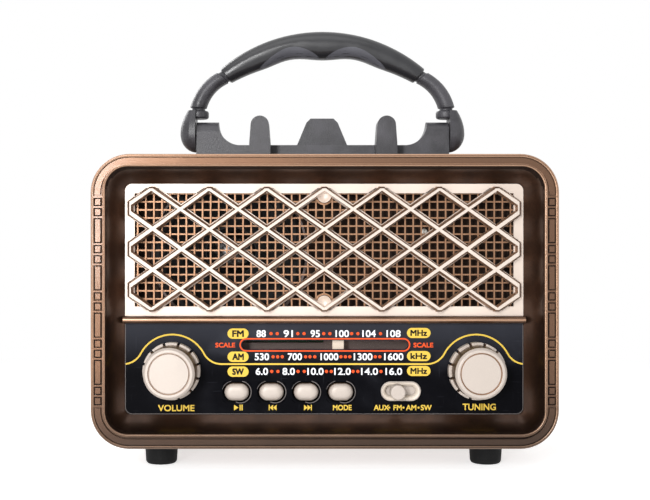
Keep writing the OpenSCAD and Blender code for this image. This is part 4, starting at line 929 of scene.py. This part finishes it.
@dataclass
class Grille:
    """Lattice, fine mesh, baffle and loudspeaker."""

    columns: int = 7
    rows: int = 3
    half_width: float = 87.5 * MM
    half_height: float = 26.7 * MM
    face_radius: float = 1.11 * MM
    foot_radius: float = 1.575 * MM
    side_trim: float = 2.6 * MM
    tip_slope: float = 1.0 * MM
    lift: float = 0.32 * MM
    rise: float = 4.5 * MM
    foot_sunk: float = 0.4 * MM
    waist_depth: float = 1.6 * MM
    waist_inset: float = 0.32 * MM
    shoulder: float = 0.35 * MM
    shoulder_inset: float = 0.01 * MM
    front_inset: float = 0.035 * MM
    face_margin: tuple[float, float] = (0.45 * MM, 0.4 * MM)
    shaded_from: float = 0.9 * MM
    step_apart: float = 0.004 * MM
    bar_crease: float = 50.0
    sheet_margin: float = 0.1 * MM
    cup_reach: float = 3.4 * MM
    cup_rise: float = 1.3 * MM

    def bars(self) -> list[tuple[np.ndarray, np.ndarray]]:
        """Ends of the slanting bars and of the short upright ones that close the side tips.

        The lattice's crossings lie on a grid of half diamonds, and a bar runs along its diagonals until it
        meets the top, the bottom or a side. A side end is cut short by the trim.

        Returns:
            The two ends (x, z) of each bar's middle line.
        """
        step = np.array([self.half_width / self.columns, self.half_height / self.rows])
        slope = step[1] / step[0]
        starts = [(column, -self.rows) for column in range(1 - self.columns, self.columns, 2)]
        starts += [(-self.columns, row) for row in range(1 - self.rows, self.rows, 2)]
        limit = self.half_width - self.side_trim
        ends = []
        for column, row in starts:
            run = min(self.columns - column, self.rows - row)
            line = np.array([(column, row), (column + run, row + run)]) * step
            cut = np.clip(line[:, 0], -limit, limit)
            line[:, 1] += (cut - line[:, 0]) * slope
            line[:, 0] = cut
            ends += [(line[0], line[1]), (line[0] * (1, -1), line[1] * (1, -1))]
        half = self.side_trim * slope
        for row in range(1 - self.rows, self.rows, 2):
            for side in (-1, 1):
                low, high = (row * step[1] + turn * half for turn in (-1, 1))
                ends.append((np.array([side * limit, low]), np.array([side * limit, high])))
        return ends

    def bar(
        self, first: np.ndarray, second: np.ndarray, front: float, back: float, count: int = 9
    ) -> np.ndarray:
        """Rings of a bar with round ends: each is a stadium, wide at the back and narrow at the front.

        Args:
            first: One end (x, z) of the bar's middle line.
            second: The other end.
            front: Depth of the bar's face.
            back: Depth of its foot.
            count: Points on each round end.

        Returns:
            The rings' points, from the foot to the face.
        """
        along = second - first
        turn = math.degrees(math.atan2(along[1], along[0]))
        foot, face, soft = self.foot_radius, self.face_radius, self.shoulder
        depth_radius_spread = (
            (back, foot, 1.0), (front + self.waist_depth, foot - self.waist_inset, 0.8),
            (front + soft, face, 0.12), (front + 0.3 * soft, face - self.shoulder_inset, 0.04),
            (front, face - self.front_inset, 0.0),
        )
        room = np.array([self.half_width - self.side_trim, self.half_height]) - self.face_margin
        rings = []
        for depth, radius, spread in depth_radius_spread:
            outline = np.concatenate([
                arc(second, radius, turn - 90, turn + 90, count),
                arc(first, radius, turn + 90, turn + 270, count),
            ])
            limit = room + self.tip_slope * spread
            rings.append(np.insert(np.clip(outline, -limit, limit), 1, depth, axis=1))
        return np.array(rings)

    def sheet(self) -> None:
        """The CAD node's sheet and screw cups, without the bars' fronts, which the swept bars replace."""
        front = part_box("grille_lattice")[0].y + self.rise - self.sheet_margin
        piece = softened_copy("grille_lattice", 0.2 * MM, limit=24)
        drop_faces(piece, lambda spot: spot.y < front and abs(spot.x) > self.cup_reach)
        drop_faces(piece, lambda spot: spot.y < front - self.cup_rise)
        WARDROBE.dress(piece, CHAMPAGNE)

    def lattice(self) -> None:
        """Sweeps every bar over the place of the CAD node's bars."""
        low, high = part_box("grille_lattice")
        middle = np.array([0, 0, (low.z + high.z) / 2 + self.lift])
        vertices, faces = [], []
        for number, (first, second) in enumerate(self.bars()):
            front = low.y + self.step_apart * number
            rings = self.bar(first, second, front, low.y + self.rise + self.foot_sunk)
            count = rings.shape[1]
            start = len(vertices) * rings.shape[0] * count
            vertices.append(rings.reshape(-1, 3) + middle)
            faces += (grid_faces(len(rings), count) + start).tolist()
            faces.append([start + (len(rings) - 1) * count + i for i in range(count)])
        piece = surface("lattice_bars", np.concatenate(vertices), faces)
        smooth_by_angle(piece.data, self.bar_crease)
        front = low.y + self.shaded_from
        # The bars' sides behind the face get painted shade.
        paint_faces(piece, (BAR_FACE, SHADED), lambda centres, normals: centres[:, 1] > front)
        settle(piece, "radio")

    def build(self) -> None:
        """Softens the lattice and dresses what shows through it."""
        self.sheet()
        self.lattice()
        WARDROBE.dress(softened_copy("speaker_mesh", 0.12 * MM), MESH_WIRE)
        WARDROBE.dress_nodes(BAFFLE, ("baffle_board",))
        WARDROBE.dress_nodes(DARK_INSIDE, ("speaker_basket",))
        WARDROBE.dress_nodes(STEEL, ("speaker_magnet", "grille_screws"))
        WARDROBE.dress_nodes(CONE, ("speaker_cone",))
        WARDROBE.dress_nodes(CAP, ("speaker_dust_cap",))
        WARDROBE.dress_nodes(LED, ("indicator_led",))


def arc(middle: Sequence[float], radius: float, start: float, end: float, count: int = 24) -> np.ndarray:
    """Points on an arc: the middle plus the radius times the cosine (x) and the sine (z) of each angle.

    Args:
        middle: The arc's middle (x, z).
        radius: Its radius.
        start: First angle in degrees.
        end: Last angle.
        count: Number of points.

    Returns:
        One row (x, z) for each point.
    """
    angles = np.radians(np.linspace(start, end, count))
    return np.stack([middle[0] + radius * np.cos(angles), middle[1] + radius * np.sin(angles)], axis=1)


def stadium(x: float, z: float, width: float, height: float, count: int = 20) -> np.ndarray:
    """Outline of a stadium: two half circles joined by straight lines.

    Args:
        x: Its middle, across.
        z: Its middle, upward.
        width: Width over the half circles.
        height: Height, which is the half circles' diameter.
        count: Points on each half circle.

    Returns:
        One row (x, z) for each point.
    """
    half, radius = (width - height) / 2, height / 2
    return np.concatenate([
        arc((x + half, z), radius, -90, 90, count), arc((x - half, z), radius, 90, 270, count),
    ])


@dataclass
class Sheet:
    """Flat printing in one ink, drawn in millimetres (x, z) from the middle of the front."""

    ink: Finish
    layer_gap: float = 0.002
    points: list[np.ndarray] = field(default_factory=list)
    faces: list[tuple[int, ...]] = field(default_factory=list)

    def add(self, points: np.ndarray, faces: Iterable[Sequence[int]], lift: float = 0.0) -> None:
        """Takes over a drawn shape.

        Args:
            points: One row (x, z) for each point.
            faces: The numbers of each face's points.
            lift: The points' height over the sheet in millimetres.
        """
        start = sum(len(known) for known in self.points)
        self.points.append(np.insert(points, 2, lift, axis=1))
        self.faces += [tuple(int(i) + start for i in face) for face in faces]

    def patch(self, outline: np.ndarray) -> None:
        """A filled shape."""
        self.add(outline, [range(len(outline))])

    def line(self, path: np.ndarray, width: float, closed: bool = False) -> None:
        """A line of even width: both its sides are half the width from the path, along the path's normal.

        Args:
            path: The line's middle, one row (x, z) for each point.
            width: Its width in millimetres.
            closed: Whether the last point joins the first one.
        """
        step = np.roll(path, -1, 0) - np.roll(path, 1, 0) if closed else np.gradient(path, axis=0)
        side = np.stack([-step[:, 1], step[:, 0]], axis=1) / np.linalg.norm(step, axis=1, keepdims=True)
        both = np.concatenate([path + side * width / 2, path - side * width / 2])
        self.add(both, grid_faces(2, len(path), closed))

    def dot(self, x: float, z: float, radius: float) -> None:
        """A round dot."""
        self.patch(arc((x, z), radius, 0, 345, 24))

    def letters(
        self, text: str, x: float, z: float, width: float, height: float, weight: float = 0.16
    ) -> None:
        """Lettering whose outline fills a box of that width and height round its middle.

        Args:
            text: What is written.
            x: The middle, across.
            z: The middle, upward.
            width: Width of the whole word.
            height: Height of the letters.
            weight: How much wider the strokes are than the plain font's, in millimetres.
        """
        curve = bpy.data.curves.new("letters", "FONT")
        curve.body = text
        curve.resolution_u = 4
        carrier = bpy.data.objects.new("letters", curve)
        bpy.context.scene.collection.objects.link(carrier)
        bpy.context.view_layer.update()
        mesh = bpy.data.meshes.new_from_object(carrier.evaluated_get(bpy.context.evaluated_depsgraph_get()))
        spots = np.empty(len(mesh.vertices) * 3)
        mesh.vertices.foreach_get("co", spots)
        spots = spots.reshape(-1, 3)[:, :2]
        low, high = spots.min(axis=0), spots.max(axis=0)
        room = np.array((width, height)) - weight
        fitted = (spots - (low + high) / 2) / (high - low) * room + (x, z)
        faces = [tuple(p.vertices) for p in mesh.polygons]
        for layer, shift in enumerate(np.array([(-1, -1), (-1, 1), (1, -1), (1, 1), (0, 0)]) * weight / 2):
            self.add(fitted + shift, faces, layer * self.layer_gap)
        bpy.data.objects.remove(carrier)
        bpy.data.curves.remove(curve)
        bpy.data.meshes.remove(mesh)

    def lay(self, name: str, middle_z: float, front: float, body: str, slot: str) -> bpy.types.Object:
        """Makes the printing a mesh and lets it ride.

        Args:
            name: Name of the piece.
            middle_z: Height of the front's middle in metres.
            front: Depth of the sheet in metres.
            body: The body that carries it.
            slot: Not used.

        Returns:
            The piece.
        """
        drawn = np.concatenate(self.points) * MM
        spots = np.stack([drawn[:, 0], front - drawn[:, 2], drawn[:, 1] + middle_z], axis=1)
        piece = surface(name, spots, self.faces)
        WARDROBE.dress(piece, self.ink)
        return settle(piece, body)


@dataclass(frozen=True)
class Scale:
    """One row of the dial: its name, its unit and the numbers with dots between them, in millimetres."""

    name: str
    unit: str
    name_z: float
    unit_z: float
    numbers_z: float
    numbers: tuple[tuple[str, float, float], ...]
    dots: tuple[float, ...]


SCALES = (
    Scale(
        "FM", "MHz", -14.6, -14.3, -14.6,
        (("88", -27.5, 4.1), ("91", -15.7, 4.1), ("95", -3.9, 4.1), ("100", 7.9, 5.9), ("104", 19.6, 5.9),
         ("108", 30.3, 6.2)),
        (-23.2, -20.5, -11.5, -8.8, -0.2, 2.5, 12.0, 14.7, 24.6),
    ),
    Scale(
        "AM", "kHz", -24.7, -24.4, -24.7,
        (("530", -27.2, 6.3), ("700", -12.8, 6.2), ("1000", 2.3, 7.8), ("1300", 17.0, 8.2),
         ("1600", 30.4, 8.4)),
        (-22.3, -20.3, -18.3, -8.1, -6.2, -4.1, 7.3, 9.3, 11.2, 22.3, 24.3),
    ),
    Scale(
        "SW", "MHz", -31.2, -30.9, -31.1,
        (("6.0", -27.2, 5.4), ("8.0", -15.5, 5.4), ("10.0", -3.8, 7.1), ("12.0", 8.0, 7.2),
         ("14.0", 19.8, 7.4), ("16.0", 30.4, 7.3)),
        (-22.9, -20.2, -11.4, -8.7, 1.0, 3.1, 12.6, 14.7, 24.8),
    ),
)


@dataclass(frozen=True)
class Word:
    """The name of a control: its middle, its width and the height of its capitals, in millimetres."""

    text: str
    x: float
    z: float
    width: float
    height: float


WORDS = (
    Word("VOLUME", -64.6, -47.1, 15.9, 2.8),
    Word("TUNING", 67.7, -46.6, 14.5, 2.9),
    Word("MODE", 7.9, -46.9, 8.2, 2.4),
    Word("AUX  FM  AM  SW", 34.3, -46.9, 25.3, 2.4),
)


@dataclass
class Printing:
    """The dial's scales, the yellow line round the knobs and the words under the controls."""

    name_x: float = -37.6
    name_field: tuple[float, float] = (9.2, 4.5)
    name_letters: tuple[float, float, float] = (5.1, 2.9, 0.3)
    unit_x: float = 41.3
    unit_field: tuple[float, float] = (10.3, 4.4)
    unit_letters: tuple[float, float, float] = (7.3, 2.7, 0.26)
    number_height: float = 3.1
    mark_z: float = -46.9
    mark_half: float = 1.25
    play_mark_x: float = -37.6
    skip_marks_x: tuple[tuple[float, int], ...] = ((-22.3, -1), (-7.3, 1))
    band_dots_x: tuple[float, ...] = (28.4, 34.6, 41.2)
    band_dot_radius: float = 0.45
    button_x: tuple[float, ...] = (-38.2, -23.05, -7.9, 7.25)
    button_z: float = -40.1
    well_size: tuple[float, float] = (13.4, 10.1)
    well_half: float = 1.6
    well_radius: float = 4.75
    well_line: float = 0.9
    lit_line: float = 0.28
    faint_line: float = 0.16
    slot_x: float = 0.3
    slot_z: float = -19.5
    slot_size: tuple[float, float] = (74.0, 5.3)
    slot_line: float = 0.6
    slot_words_x: tuple[float, float] = (-43.2, 43.3)
    slot_words_z: float = -19.6
    slot_letters: tuple[float, float] = (8.6, 2.1)
    rim_radius: float = 3.0
    rim_line: float = 0.2
    dot_radius: float = 0.7
    knob_x: float = 66.3
    knob_z: float = -30.6
    ring: float = 15.6
    fillet: float = 8.7
    line_z: float = -27.9
    line_width: float = 0.72
    panel_half: float = 86.9
    ink_gap: float = 0.03
    ink_step: float = 0.01
    yellow: Sheet = field(default_factory=lambda: Sheet(YELLOW_INK))
    red: Sheet = field(default_factory=lambda: Sheet(RED_INK))
    white: Sheet = field(default_factory=lambda: Sheet(WHITE_INK))
    black: Sheet = field(default_factory=lambda: Sheet(BLACK_INK))
    wells: Sheet = field(default_factory=lambda: Sheet(FASCIA))
    # Painted highlights on the panel's edge and the wells' rims.
    edges: Sheet = field(default_factory=lambda: Sheet(PANEL_EDGE_HIGHLIGHT))

    def build(self) -> None:
        """Draws every sheet and lays them on the panel, the black letters on the yellow fields."""
        for scale in SCALES:
            self.scale(scale)
        self.slot_outline()
        self.knob_line()
        self.words()
        self.symbols()
        self.well_rings()
        self.panel_rim()
        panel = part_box("dial_panel")[0].y
        for number, (sheet, name) in enumerate((
            (self.yellow, "printing_yellow"), (self.red, "printing_red"), (self.white, "printing_white"),
            (self.black, "printing_black"), (self.wells, "well_rings"), (self.edges, "painted_edge_highlights"),
        )):
            front = panel - (self.ink_gap + self.ink_step * number) * MM
            sheet.lay(name, middle_of_front(), front, "radio", "dial_black")

    def scale(self, scale: Scale) -> None:
        """Prints a yellow field for the name, one for the unit, white numbers and red dots between them.

        Args:
            scale: The row that is printed.
        """
        self.yellow.patch(stadium(self.name_x, scale.name_z, *self.name_field))
        self.yellow.patch(stadium(self.unit_x, scale.unit_z, *self.unit_field))
        self.black.letters(scale.name, self.name_x, scale.name_z, *self.name_letters)
        self.black.letters(scale.unit, self.unit_x, scale.unit_z, *self.unit_letters)
        for text, x, width in scale.numbers:
            self.white.letters(text, x, scale.numbers_z, width, self.number_height)
        for x in scale.dots:
            self.red.dot(x, scale.numbers_z, self.dot_radius)

    def slot_outline(self) -> None:
        """The red outline round the pointer's slot and a small word at each end."""
        self.red.line(stadium(self.slot_x, self.slot_z, *self.slot_size), self.slot_line, closed=True)
        for x in self.slot_words_x:
            self.red.letters("SCALE", x, self.slot_words_z, *self.slot_letters)

    def knob_line(self) -> None:
        """A line across the panel that swings over each knob.

        The fillet's centre lies one radius above the line and both radii from the knob's centre.
        """
        rise = self.line_z + self.fillet - self.knob_z
        reach = math.sqrt((self.ring + self.fillet) ** 2 - rise ** 2)
        lean = math.degrees(math.atan2(rise, reach))
        inner, outer = self.knob_x - reach, self.knob_x + reach
        top = self.line_z + self.fillet
        edge = -math.degrees(math.acos((self.panel_half - outer) / self.fillet))
        right = np.concatenate([
            np.stack([np.linspace(0, inner, 12), np.full(12, self.line_z)], axis=1)[:-1],
            arc((inner, top), self.fillet, -90, -lean, 14)[:-1],
            arc((self.knob_x, self.knob_z), self.ring, 180 - lean, lean, 48),
            arc((outer, top), self.fillet, -180 + lean, edge, 14)[1:],
        ])
        left = right[:0:-1] * (-1, 1)
        self.yellow.line(np.concatenate([left, right]), self.line_width)

    def well_rings(self) -> None:
        """The stadium rim of each button's well, with light on the edge that faces the lamp."""
        for x in self.button_x:
            self.wells.line(stadium(x, self.button_z, *self.well_size), self.well_line, closed=True)
            left, right = ((x + turn * self.well_half, self.button_z) for turn in (-1, 1))
            self.edges.line(arc(right, self.well_radius, -115, 80, 30), self.lit_line)
            self.edges.line(arc(left, self.well_radius, 100, 165, 12), self.faint_line)

    def panel_rim(self) -> None:
        """A painted highlight along the panel's edge, on its sides and its foot."""
        low, high = (np.array(v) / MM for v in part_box("dial_panel"))
        middle = middle_of_front() / MM
        half, top, foot = high[0] - 0.2, high[2] - middle - 0.3, low[2] - middle + 0.2
        radius = self.rim_radius
        path = np.concatenate([
            np.stack([np.full(8, -half), np.linspace(top, foot + radius, 8)], axis=1)[:-1],
            arc((radius - half, foot + radius), radius, 180, 270, 8),
            np.stack([np.linspace(radius - half, half - radius, 8), np.full(8, foot)], axis=1)[1:-1],
            arc((half - radius, foot + radius), radius, 270, 360, 8),
            np.stack([np.full(8, half), np.linspace(foot + radius, top, 8)], axis=1)[1:],
        ])
        self.edges.line(path, self.rim_line)

    def words(self) -> None:
        """Names of the controls in yellow capitals, with dots between the bands."""
        for word in WORDS:
            self.yellow.letters(word.text, word.x, word.z, word.width, word.height)
        for x in self.band_dots_x:
            self.yellow.dot(x, self.mark_z, self.band_dot_radius)

    def symbols(self) -> None:
        """Play and pause, back and forward marks on the words' line."""
        z, half = self.mark_z, self.mark_half
        play = np.array([(-1.75, -half), (0.2, 0), (-1.75, half)])
        self.yellow.patch(play + (self.play_mark_x, z))
        for shift in (0.9, 1.75):
            bar = np.array([(-0.25, -half), (0.25, -half), (0.25, half), (-0.25, half)])
            self.yellow.patch(bar + (self.play_mark_x + shift, z))
        for middle, turn in self.skip_marks_x:
            for shift in (-1.5, 0.0):
                arrow = np.array([(shift, -half), (shift + 1.5, 0), (shift, half)])
                self.yellow.patch(arrow * (turn, 1) + (middle, z))
            stop = np.array([(1.5, -half), (1.9, -half), (1.9, half), (1.5, half)])
            self.yellow.patch(stop * (turn, 1) + (middle, z))


@dataclass
class DialWorks:
    """Panel, window and pointer, and the cord drive and the boards behind them."""

    edge_inset: float = 0.7 * MM
    edge_depth: float = 0.5 * MM
    flat_facing: float = 0.97

    def build(self) -> None:
        """Dresses the panel, the pointer and the works."""
        low, high = (np.array(v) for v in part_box("dial_panel"))

        def choose(centres: np.ndarray, normals: np.ndarray) -> np.ndarray:
            """Finds the edge for the painted highlight: slanting faces at the front of the outline, not round
            the openings.

            Args:
                centres: The faces' middles.
                normals: Their normals.

            Returns:
                1 for a face of the highlighted edge, or else 0.
            """
            inset = np.minimum(centres - low, high - centres)[:, [0, 2]].min(axis=1)
            front = centres[:, 1] < low[1] + self.edge_depth
            return (inset < self.edge_inset) & front & (normals[:, 1] > -self.flat_facing)

        paint_faces(softened_copy("dial_panel", 0.2 * MM), (FASCIA, PANEL_EDGE_HIGHLIGHT), choose)
        WARDROBE.dress_nodes(WINDOW, ("dial_window",))
        WARDROBE.dress(softened_copy("dial_pointer", 0.1 * MM), POINTER)
        WARDROBE.dress_nodes(DARK_INSIDE, ("dial_chassis",))
        WARDROBE.dress_nodes(STEEL, ("pulley_pins", "pointer_rail"))
        WARDROBE.dress_nodes(CORD, ("dial_cord",))
        WARDROBE.dress_nodes(IVORY, ("left_pulley", "idler_pulley", "cord_drum", "tuning_capacitor"))
        WARDROBE.dress_nodes(
            CONTACT, ("tuning_shaft", "volume_shaft", "volume_potentiometer", "band_switch_body"),
        )
        WARDROBE.dress_nodes(SOCKET_BLACK, ("tact_switches",))
        WARDROBE.dress_nodes(BOARD, ("button_board", "main_board"))
        WARDROBE.dress_nodes(FERRITE, ("ferrite_rod",))
        WARDROBE.dress_nodes(COPPER, ("ferrite_coil",))


@dataclass
class Controls:
    """The two knobs, four push buttons and the band switch."""

    button_z: float = -40.1 * MM
    cap_width: float = 10.8 * MM
    cap_height: float = 7.6 * MM
    cap_rise: float = 2.9 * MM
    cap_skirt: float = 1.2 * MM
    cap_foot: float = 1.9 * MM
    cap_cut: float = 0.3 * MM
    cap_rows: int = 14
    switch_x: float = 33.5 * MM
    switch_z: float = -39.8 * MM
    bowl_width: float = 16.4 * MM
    bowl_height: float = 7.5 * MM
    bowl_depth: float = 2.4 * MM
    bowl_sunk: float = 0.15 * MM
    bowl_narrowing: float = 3.4 * MM
    bowl_rows: int = 8
    lug_front: float = 10.6 * MM
    lug_depth: float = 0.5 * MM
    groove_share: float = 0.715
    groove_half: float = 0.45 * MM
    groove_front: float = 0.35 * MM
    groove_back: float = 1.5 * MM
    side_front: float = 1.3 * MM

    def rings(
        self, x: float, z: float, steps: Sequence[tuple[float, float, float]]
    ) -> tuple[np.ndarray, list[list[int]]]:
        """Stadiums one behind the other, joined to a skin.

        Args:
            x: Their middle, across.
            z: Their middle, upward.
            steps: Width, height and depth of each stadium.

        Returns:
            The points, one row for each, and the faces.
        """
        rings = np.array([
            np.insert(stadium(x, z, width, height), 1, depth, axis=1) for width, height, depth in steps
        ])
        return rings.reshape(-1, 3), grid_faces(len(rings), rings.shape[1]).tolist()

    def knob(self, node: str) -> None:
        """Softens a CAD knob and gives painted shade to the gaps between its lugs, its side and the groove in
        its front.

        Args:
            node: The knob's node.
        """
        piece = softened_copy(node, 0.3 * MM, segments=3, limit=26)
        low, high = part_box(node)
        middle = np.array([(low.x + high.x) / 2, (low.z + high.z) / 2])
        radius = (high.x - low.x) / 2

        def choose(centres: np.ndarray, normals: np.ndarray) -> np.ndarray:
            """Finds the places for painted shade: between the lugs, in the front's groove and on the side.

            Args:
                centres: The faces' middles.
                normals: Their normals.

            Returns:
                1 between the lugs and in the front's groove, 2 on the side, or else 0.
            """
            away = np.linalg.norm(centres[:, [0, 2]] - middle, axis=1)
            behind = centres[:, 1] - low.y
            gap = (away < radius - self.lug_depth) & (behind > self.lug_front)
            groove = np.abs(away - radius * self.groove_share) < self.groove_half
            groove &= (behind > self.groove_front) & (behind < self.groove_back)
            side = (np.abs(normals[:, 1]) < 0.5) & (behind > self.side_front) & (behind < self.lug_front)
            return np.where(gap | groove, 1, np.where(side, 2, 0))

        paint_faces(piece, (KNOB_FACE, SHADED, KNOB_SIDE_SHADE), choose)

    def button(self, node: str) -> None:
        """Puts a puffy cap over a CAD button's front; its profile is near a quarter of an ellipse.

        Args:
            node: The button's node.
        """
        low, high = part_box(node)
        base = softened_copy(node, 0.2 * MM, limit=26)
        drop_faces(base, lambda spot: spot.y < low.y + self.cap_rise + self.cap_cut)
        WARDROBE.dress(base, WELL)
        x, z = (low.x + high.x) / 2, middle_of_front() + self.button_z
        steps = [(self.cap_width, self.cap_height, low.y + self.cap_rise + self.cap_skirt)]
        for turn in np.linspace(0, math.pi / 2, self.cap_rows):
            inset = self.cap_height * (1 - max(0.06, math.cos(turn) ** 0.55))
            depth = low.y + self.cap_rise * (1 - math.sin(turn))
            steps.append((self.cap_width - inset, self.cap_height - inset, depth))
        points, faces = self.rings(x, z, steps)
        around = len(points) // len(steps)
        faces.append([len(points) - around + i for i in range(around)])
        cap = surface(node + "_cap", points, faces)
        cap.data.shade_smooth()
        foot = low.y + self.cap_foot
        # The cap's foot gets painted shade.
        paint_faces(cap, (KNOB_FACE, SHADED), lambda centres, normals: centres[:, 1] > foot)
        settle(cap, NODE_BODY[node])

    def dish(self) -> None:
        """A hollow bowl inside the switch's bezel, open in the middle for the knob's stem.

        It narrows by the sine of a turn and deepens by 1 less its cosine, like a quarter of a circle.
        """
        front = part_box("switch_bezel")[0].y + self.bowl_sunk
        steps = []
        for turn in np.linspace(0, math.pi / 2, self.bowl_rows):
            narrower = self.bowl_narrowing * math.sin(turn)
            depth = front + self.bowl_depth * (1 - math.cos(turn))
            steps.append((self.bowl_width - narrower, self.bowl_height - narrower, depth))
        points, faces = self.rings(self.switch_x, middle_of_front() + self.switch_z, steps)
        bowl = surface("switch_bowl", points, [face[::-1] for face in faces])
        bowl.data.shade_smooth()
        WARDROBE.dress(bowl, IVORY_DISH)
        settle(bowl, "radio")

    def build(self) -> None:
        """Softens every control and gives it the champagne finish."""
        for node in ("tuning_knob", "volume_knob"):
            self.knob(node)
        for node in ("play_button", "previous_button", "next_button", "mode_button"):
            self.button(node)
        self.dish()
        for node in ("switch_bezel", "band_switch_knob"):
            WARDROBE.dress(softened_copy(node, 0.2 * MM, segments=3, limit=26), KNOB_FACE)


class Side(Enum):
    """A side of the handle, with the sign of its X."""

    LEFT = -1
    RIGHT = 1


class Facing(Enum):
    """Which way a face looks, with the sign of its Y."""

    FRONT = -1
    BACK = 1


@dataclass
class Handle:
    """The folding handle and the base that carries it."""

    facet_inner: float = 1.2 * MM
    facet_outer: float = 29.5 * MM
    facet_height: float = 4.6 * MM
    facet_gap: float = 0.25 * MM
    facet_proud: float = 0.06 * MM
    facet_arch: float = 0.8
    facet_rows: int = 8
    facet_columns: int = 40

    def build(self) -> None:
        """Softens the base and dresses the moving half."""
        base = softened_copy("handle_base", 0.5 * MM, segments=3, limit=28)
        WARDROBE.dress(base, HANDLE_TEXTURED)
        for node in ("handle_hubs", "handle_sleeves"):
            WARDROBE.dress(softened_copy(node, 0), HANDLE_TEXTURED)
        WARDROBE.dress_nodes(STEEL, ("handle_pins",))
        WARDROBE.dress(softened_copy("handle_grip", 0), HANDLE_SMOOTH)
        mesh = frame["nodes"]["handle_grip"].data
        mesh.calc_loop_triangles()
        spots = np.empty(len(mesh.vertices) * 3)
        mesh.vertices.foreach_get("co", spots)
        corners = np.empty(len(mesh.loop_triangles) * 3, dtype=np.int32)
        mesh.loop_triangles.foreach_get("vertices", corners)
        grip = spots.reshape(-1, 3)[corners].reshape(-1, 3, 3)
        for side in Side:
            for facing in Facing:
                self.facet(grip, side, facing)

    def facet(self, grip: np.ndarray, side: Side, facing: Facing) -> None:
        """A lens shaped finger facet on the grip's lower edge, drawn as a lighter sheet: a painted highlight.

        Its lower line follows the grip's underside, and its upper line is an arch over it: four times the
        share of the way across times what is left of it, to a power. Its points lie just off the grip.

        Args:
            grip: The grip's triangles, with three corners each.
            side: The half of the grip.
            facing: The grip's front or its back.
        """
        across, up = np.meshgrid(np.linspace(0, 1, self.facet_columns), np.linspace(0, 1, self.facet_rows))
        x = side.value * (self.facet_inner + (self.facet_outer - self.facet_inner) * across)
        foot = self.meet(grip, np.stack([x[0], np.zeros_like(x[0])], axis=1), 2)[0]
        height = self.facet_height * (4 * across * (1 - across)) ** self.facet_arch
        z = foot + self.facet_gap + height * up
        front, back = self.meet(grip, np.stack([x, z], axis=2).reshape(-1, 2), 1)
        y = (front if facing is Facing.FRONT else back).reshape(x.shape)
        y = np.where(np.isfinite(y), y, 0.0) + facing.value * self.facet_proud
        name = f"grip_facet_{side.name}_{facing.name}".lower()
        faces = grid_faces(self.facet_rows, self.facet_columns, closed=False)
        piece = surface(name, np.stack([x, y, z], axis=2).reshape(-1, 3), faces)
        piece.data.shade_smooth()
        WARDROBE.dress(piece, HANDLE_FACET_HIGHLIGHT)
        settle(piece, NODE_BODY["handle_grip"])

    def meet(self, grip: np.ndarray, lines: np.ndarray, axis: int) -> tuple[np.ndarray, np.ndarray]:
        """Where lines along an axis meet the grip.

        A line goes through a triangle where the three areas that it spans with the triangle's sides, seen
        along the axis, have one sign. Each area then weighs the corner opposite its side.

        Args:
            grip: The grip's triangles, with three corners each.
            lines: The lines' places across the axis, one row for each.
            axis: Number of the axis.

        Returns:
            The first and the last place along the axis, infinite for a line that misses.
        """
        away = np.delete(grip, axis, axis=2) - lines[:, None, None]
        after = np.roll(away, -1, axis=2)
        areas = np.roll(away[..., 0] * after[..., 1] - away[..., 1] * after[..., 0], -1, axis=2)
        total = areas.sum(axis=2)
        through = ((areas >= 0).all(axis=2) | (areas <= 0).all(axis=2)) & (total != 0)
        place = (areas * grip[..., axis]).sum(axis=2) / np.where(total == 0, 1, total)
        return np.where(through, place, np.inf).min(axis=1), np.where(through, place, -np.inf).max(axis=1)


@dataclass
class Antenna:
    """The telescopic antenna in its recess."""

    def build(self) -> None:
        """Plates every tube, the turret and its pin."""
        tubes = [f"antenna_tube_{number}" for number in (1, 2, 3)]
        WARDROBE.dress_nodes(CHROME, [*tubes, "antenna_tip", "antenna_turret", "antenna_pin"])


def main() -> None:
    """Builds the studio and every part of the radio."""
    logging.basicConfig(level=logging.INFO)
    bpy.context.scene.view_settings.view_transform = "Standard"
    parts = (
        Studio(), Cabinet(), FrontFrame(), Grille(), DialWorks(), Printing(), Controls(), Handle(), Antenna(),
    )
    for part in parts:
        part.build()
        LOG.info("built %s", type(part).__name__)


if __name__ == "__main__":
    main()
